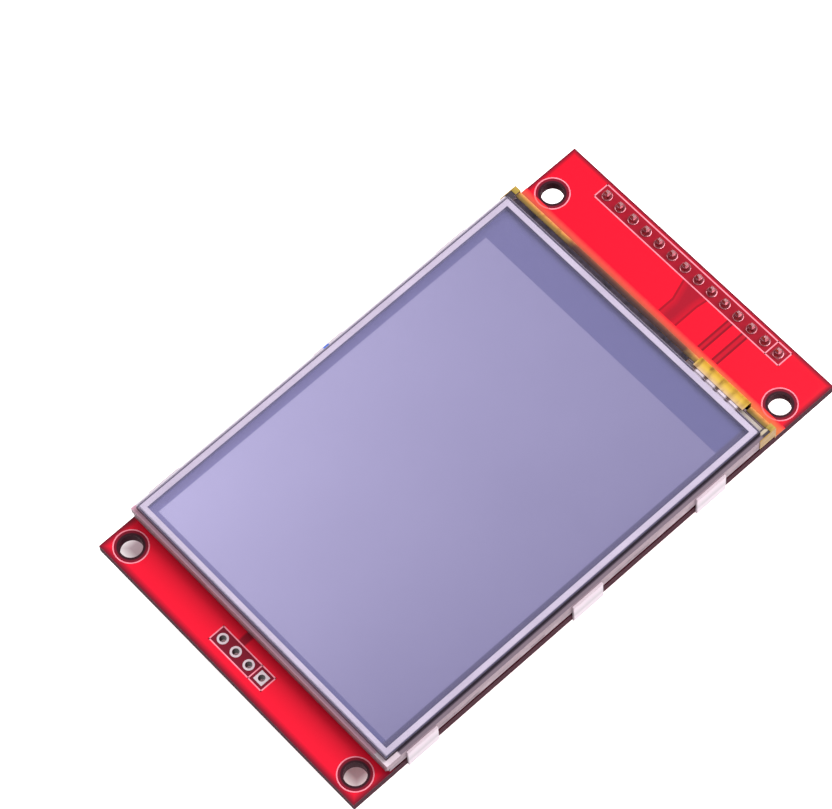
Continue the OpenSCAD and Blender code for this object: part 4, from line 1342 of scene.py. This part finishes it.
class RingTree(Wiring):
    """A node tree that sets flat rings on the four corners of a rectangle."""

    def __init__(self, name: str, material: bpy.types.Material, steps: int = 96) -> None:
        """Build the tree with named inputs.

        Args:
            name: Name of the tree and of its piece.
            material: Finish of the rings.
            steps: Number of straight steps in a ring.
        """
        super().__init__(bpy.data.node_groups.new(name, "GeometryNodeTree"))
        self.name = name
        sockets = self.tree.interface
        self.ids = {label: sockets.new_socket(label, in_out="INPUT",
                                              socket_type="NodeSocketFloat").identifier
                    for label in ("Spacing X", "Spacing Y", "Radius", "Width", "Height", "Level")}
        sockets.new_socket("Geometry", in_out="OUTPUT", socket_type="NodeSocketGeometry")
        self._wire(material, steps)

    def _wire(self, material: bpy.types.Material, steps: int) -> None:
        """Lay out the nodes: a grid of four points, a ring on each, all made real."""
        given = self.node("NodeGroupInput").outputs
        grid = self.node("GeometryNodeMeshGrid", Vertices_X=2, Vertices_Y=2,
                         Size_X=given["Spacing X"], Size_Y=given["Spacing Y"])
        circle = self.node("GeometryNodeCurvePrimitiveCircle", Resolution=steps,
                           Radius=given["Radius"])
        profile = self.node("GeometryNodeCurvePrimitiveQuadrilateral", Width=given["Width"],
                            Height=given["Height"])
        ring = self.node("GeometryNodeCurveToMesh", Curve=circle.outputs["Curve"],
                         Profile_Curve=profile.outputs["Curve"])
        spread = self.node("GeometryNodeInstanceOnPoints", Points=grid.outputs["Mesh"],
                           Instance=ring.outputs["Mesh"])
        real = self.node("GeometryNodeRealizeInstances", Geometry=spread.outputs[0])
        lift = self.node("ShaderNodeCombineXYZ", Z=given["Level"])
        raised = self.node("GeometryNodeTransform", Geometry=real.outputs[0],
                           Translation=lift.outputs[0])
        painted = self.node("GeometryNodeSetMaterial", Geometry=raised.outputs[0],
                            Material=material)
        self.node("NodeGroupOutput", Geometry=painted.outputs[0])

    def make(self, spacing: tuple[float, float], radius: float, width: float, height: float,
             level: float) -> bpy.types.Object:
        """Run the tree and keep its result as a plain mesh.

        Args:
            spacing: Distance between the rings' centres along X and Y, in metres.
            radius: Radius of a ring's middle line, in metres.
            width: Width of its line, in metres.
            height: Thickness of its line, in metres.
            level: Height of the line's middle, in metres.

        Returns:
            The piece, not yet riding on anything.
        """
        host = bpy.data.objects.new(self.name, bpy.data.meshes.new(self.name))
        bpy.context.scene.collection.objects.link(host)
        modifier = host.modifiers.new(self.name, "NODES")
        modifier.node_group = self.tree
        for name, value in zip(self.ids.values(), (*spacing, radius, width, height, level)):
            modifier[name] = value
        bpy.context.view_layer.update()
        shaped = host.evaluated_get(bpy.context.evaluated_depsgraph_get())
        data = bpy.data.meshes.new_from_object(shaped)
        host.modifiers.clear()
        host.data = data
        log.info("made %s with %d faces", self.name, len(data.polygons))
        return host


@dataclass
class BackCircuit:
    """The card socket and the small parts on the back of the board."""

    def build(self) -> None:
        """Dress every solid on the back."""
        dress_plain(
            socket_base=Sheen.IVORY_PLASTIC, socket_shell=Sheen.STEEL, socket_contacts=Sheen.GOLD,
            touch_controller=Sheen.CHIP, touch_controller_leads=Sheen.TIN, regulator=Sheen.CHIP,
            regulator_leads=Sheen.TIN, backlight_transistor=Sheen.CHIP, transistor_leads=Sheen.TIN,
            resistors=Sheen.RESISTOR, resistor_ends=Sheen.TIN, capacitors=Sheen.CERAMIC,
            capacitor_ends=Sheen.TIN)


@dataclass
class Display:
    """The backlight, the liquid crystal cell and its flex, mounted on a board."""

    board: BoardSizes
    housing: Housing

    def build(self) -> None:
        """Dress every solid of the display."""
        dress_plain(
            foam_tape=Sheen.FOAM, steel_tray=Sheen.SHADED_TRAY, reflector=Sheen.WHITE_FILM,
            light_guide=Sheen.ACRYLIC, diffuser=Sheen.WHITE_FILM, lower_prism_sheet=Sheen.PRISM,
            upper_prism_sheet=Sheen.PRISM, led_strip=Sheen.POLYIMIDE, leds=Sheen.DIODE,
            rim_tape=Sheen.BLACK_FILM, lower_polarizer=Sheen.DARK_GLASS,
            colour_glass=Sheen.DARK_GLASS, driver_chip=Sheen.SILICON,
            display_flex=Sheen.POLYIMIDE, flex_solder=Sheen.SOLDER, shelf_tape=Sheen.BLACK_FILM)
        dress_node("side_tapes", SideTape().build(*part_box("side_tapes")))
        dress_node("upper_polarizer", PictureArea().build())
        touch_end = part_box("touch_film")[1].y / MM
        dress_node("light_frame", FrameFinish().build(*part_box("light_frame"), touch_end))
        dress_node("array_glass", ShelfGlass().build())
        dress_node("amber_tape", AmberFilm().build(self.housing, self.board))


@dataclass
class TouchPanel:
    """The clear touch panel on the front, with its white spacer and its tail."""

    film: ClearPanel = ClearPanel("touch_film", (150, 144, 180), (44, 34, 50), (84, 66, 80),
                                  (170, 158, 172), 0.08, Texture(0.12, 0.3, 0.02, grain=30.0))
    glass: ClearPanel = ClearPanel("touch_glass", (140, 136, 172), (30, 22, 34), (82, 64, 78),
                                   (158, 146, 160), 0.03, Texture(0.12, 0.1, 0.02, grain=30.0))

    def build(self) -> None:
        """Dress every solid of the touch panel."""
        for sheet in (self.film, self.glass):
            dress_node(sheet.name, sheet.build(*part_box(sheet.name)))
        dress_plain(panel_tape=Sheen.PANEL_TAPE, touch_spacer=Sheen.SPACER,
                    tail_conductors=Sheen.CONDUCTOR)
        dress_node("touch_tail", TailFinish().build(*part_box("touch_tail")))


# ---- Light and camera ------------------------------------------------------------------------


@dataclass(frozen=True)
class Lamp:
    """A square lamp that looks at the object, with its place and size in metres."""

    name: str
    place: tuple[float, float, float]
    size: float
    power: float

    def hang(self) -> None:
        """Add the lamp to the scene."""
        data = bpy.data.lights.new(self.name, "AREA")
        data.size = self.size
        data.energy = self.power
        lamp = bpy.data.objects.new(self.name, data)
        turn = Vector(self.place).to_track_quat("Z", "Y").to_matrix().to_4x4()
        lamp.matrix_world = Matrix.Translation(self.place) @ turn
        bpy.context.scene.collection.objects.link(lamp)


@dataclass(frozen=True)
class FloorFinish:
    """The pale floor: white where light reaches it, with the object's shadow and a painted shadow
    under the object.

    It is clear from below, so that the object's back shows.

    Attributes:
        tone: Its colour.
        cloud: Colour of its faint mottling.
        spot: Size of the mottling in millimetres.
        under: Its colour under the object, a pinkish painted shadow.
        margins: How far that reaches beyond the left and right side and the card end of the
            object's box, in millimetres; it is below 0 where it stops short.
        under_blur: Softness of its sides in millimetres.
        fade: How far from the header end it fades out, and over what distance, in millimetres.
        glow: How white it shines by itself where the object isn't over it.
        shadow_glow: How white it shines there, kept low for the painted shadow.
        roughness: Its roughness.
    """

    tone: Rgb = (236, 236, 236)
    cloud: Rgb = (232, 232, 232)
    spot: float = 60.0
    under: Rgb = (188, 164, 174)
    margins: tuple[float, float, float] = (2.2, -4.6, -3.5)
    under_blur: float = 3.0
    fade: tuple[float, float] = (9.0, 12.0)
    glow: float = 0.8
    shadow_glow: float = 0.08
    roughness: float = 0.8

    def build(self) -> bpy.types.Material:
        """Build the material."""
        paint = Painter("pale_floor")
        below = Term(paint.tree, paint.node("ShaderNodeNewGeometry").outputs["Backfacing"])
        (x0, y0, _), (x1, y1, _) = (in_mm(*corner) for corner in CAD_BOX)
        left, right, card = self.margins
        # Painted shadow under the object: a darker floor colour and less glow, reaching past its
        # left side.
        under = paint.box_edge(x0 - left, x1 + right, y0 - card, y1).inside(self.under_blur)
        end, blur = self.fade
        under = under * (y1 - end - paint.y).inside(blur)
        glow = paint.shown() * (self.glow + under * (self.shadow_glow - self.glow))
        tone = paint.blend(self.tone, self.cloud, paint.noise(self.spot))
        tint = paint.blend(BLACK, WHITE, glow)
        return paint.dress(paint.blend(tone, self.under, under), self.roughness,
                           Emission_Color=tint, Emission_Strength=1.0, Alpha=1 - below,
                           Specular_IOR_Level=0.0)


@dataclass
class Studio:
    """A pale floor, soft lamps and the camera.

    Attributes:
        aim: Point that the camera looks at, in metres.
        azimuth: Angle of the view round the object, in degrees.
        elevation: Angle of the view above the floor, in degrees.
        distance: Distance of the camera from that point, in metres.
        roll: Turn of the camera round its own axis, in degrees.
        lens: Length of its lens in millimetres.
        near: Distance at which its view begins, in metres.
        floor_size: Length of the floor's sides, in metres.
        floor_gap: Gap between the floor and the object's lowest point, in metres.
        ambient: Strength of the world's light.
        floor: Finish of the floor.
        lamps: The lamps.
    """

    aim: tuple[float, float, float] = (-0.01197, 0.00356, 0.0)
    azimuth: float = 52.892
    elevation: float = 64.247
    distance: float = 0.5904
    roll: float = 5.9595
    lens: float = 191.41
    near: float = 0.01
    floor_size: float = 6.0
    floor_gap: float = 0.0002
    ambient: float = 0.45
    floor: FloorFinish = FloorFinish()
    lamps: tuple[Lamp, ...] = (Lamp("key_lamp", (0.3, 0.5, 0.85), 0.8, 14.5),
                               Lamp("fill_lamp", (-0.7, -0.2, 0.7), 0.4, 2.5))

    def build(self) -> None:
        """Set up the view, the floor and the light."""
        scene = bpy.context.scene
        scene.view_settings.view_transform = "Standard"
        self.place_camera(scene)
        self.lay_floor(scene)
        self.light_world(scene)
        for lamp in self.lamps:
            lamp.hang()

    def place_camera(self, scene: bpy.types.Scene) -> None:
        """Add the camera and make it the scene's."""
        azimuth, elevation = math.radians(self.azimuth), math.radians(self.elevation)
        away = Vector((math.sin(azimuth) * math.cos(elevation),
                       -math.cos(azimuth) * math.cos(elevation), math.sin(elevation)))
        data = bpy.data.cameras.new("camera")
        data.lens = self.lens
        data.clip_start = self.near
        camera = bpy.data.objects.new("camera", data)
        turn = away.to_track_quat("Z", "Y").to_matrix().to_4x4()
        roll = Matrix.Rotation(-math.radians(self.roll), 4, "Z")
        place = Matrix.Translation(Vector(self.aim) + away * self.distance)
        camera.matrix_world = place @ turn @ roll
        scene.collection.objects.link(camera)
        scene.camera = camera

    def lay_floor(self, scene: bpy.types.Scene) -> None:
        """Lay the pale floor under the lowest point of the object."""
        mesh = bmesh.new()
        bmesh.ops.create_grid(mesh, x_segments=1, y_segments=1, size=self.floor_size / 2)
        bmesh.ops.translate(mesh, vec=(0, 0, CAD_BOX[0][2] - self.floor_gap), verts=mesh.verts)
        data = bpy.data.meshes.new("floor")
        mesh.to_mesh(data)
        mesh.free()
        data.materials.append(self.floor.build())
        floor = bpy.data.objects.new("floor", data)
        scene.collection.objects.link(floor)

    def light_world(self, scene: bpy.types.Scene) -> None:
        """Give the world a soft even light that the camera sees as white."""
        world = bpy.data.worlds.new("studio")
        world.use_nodes = True
        wiring = Wiring(world.node_tree)
        strength = self.ambient + wiring.shown() * (1 - self.ambient)
        wiring.fill(world.node_tree.nodes["Background"],
                    {"Color": linear(WHITE), "Strength": strength})
        scene.world = world


def main() -> None:
    """Build the studio and every sub-assembly in order."""
    logging.basicConfig(level=logging.INFO, format="%(name)s: %(message)s")
    Studio().build()
    sizes = BoardSizes.from_frame()
    Board(sizes).build()
    BackCircuit().build()
    Display(sizes, Housing.from_frame()).build()
    TouchPanel().build()


if __name__ == "__main__":
    main()
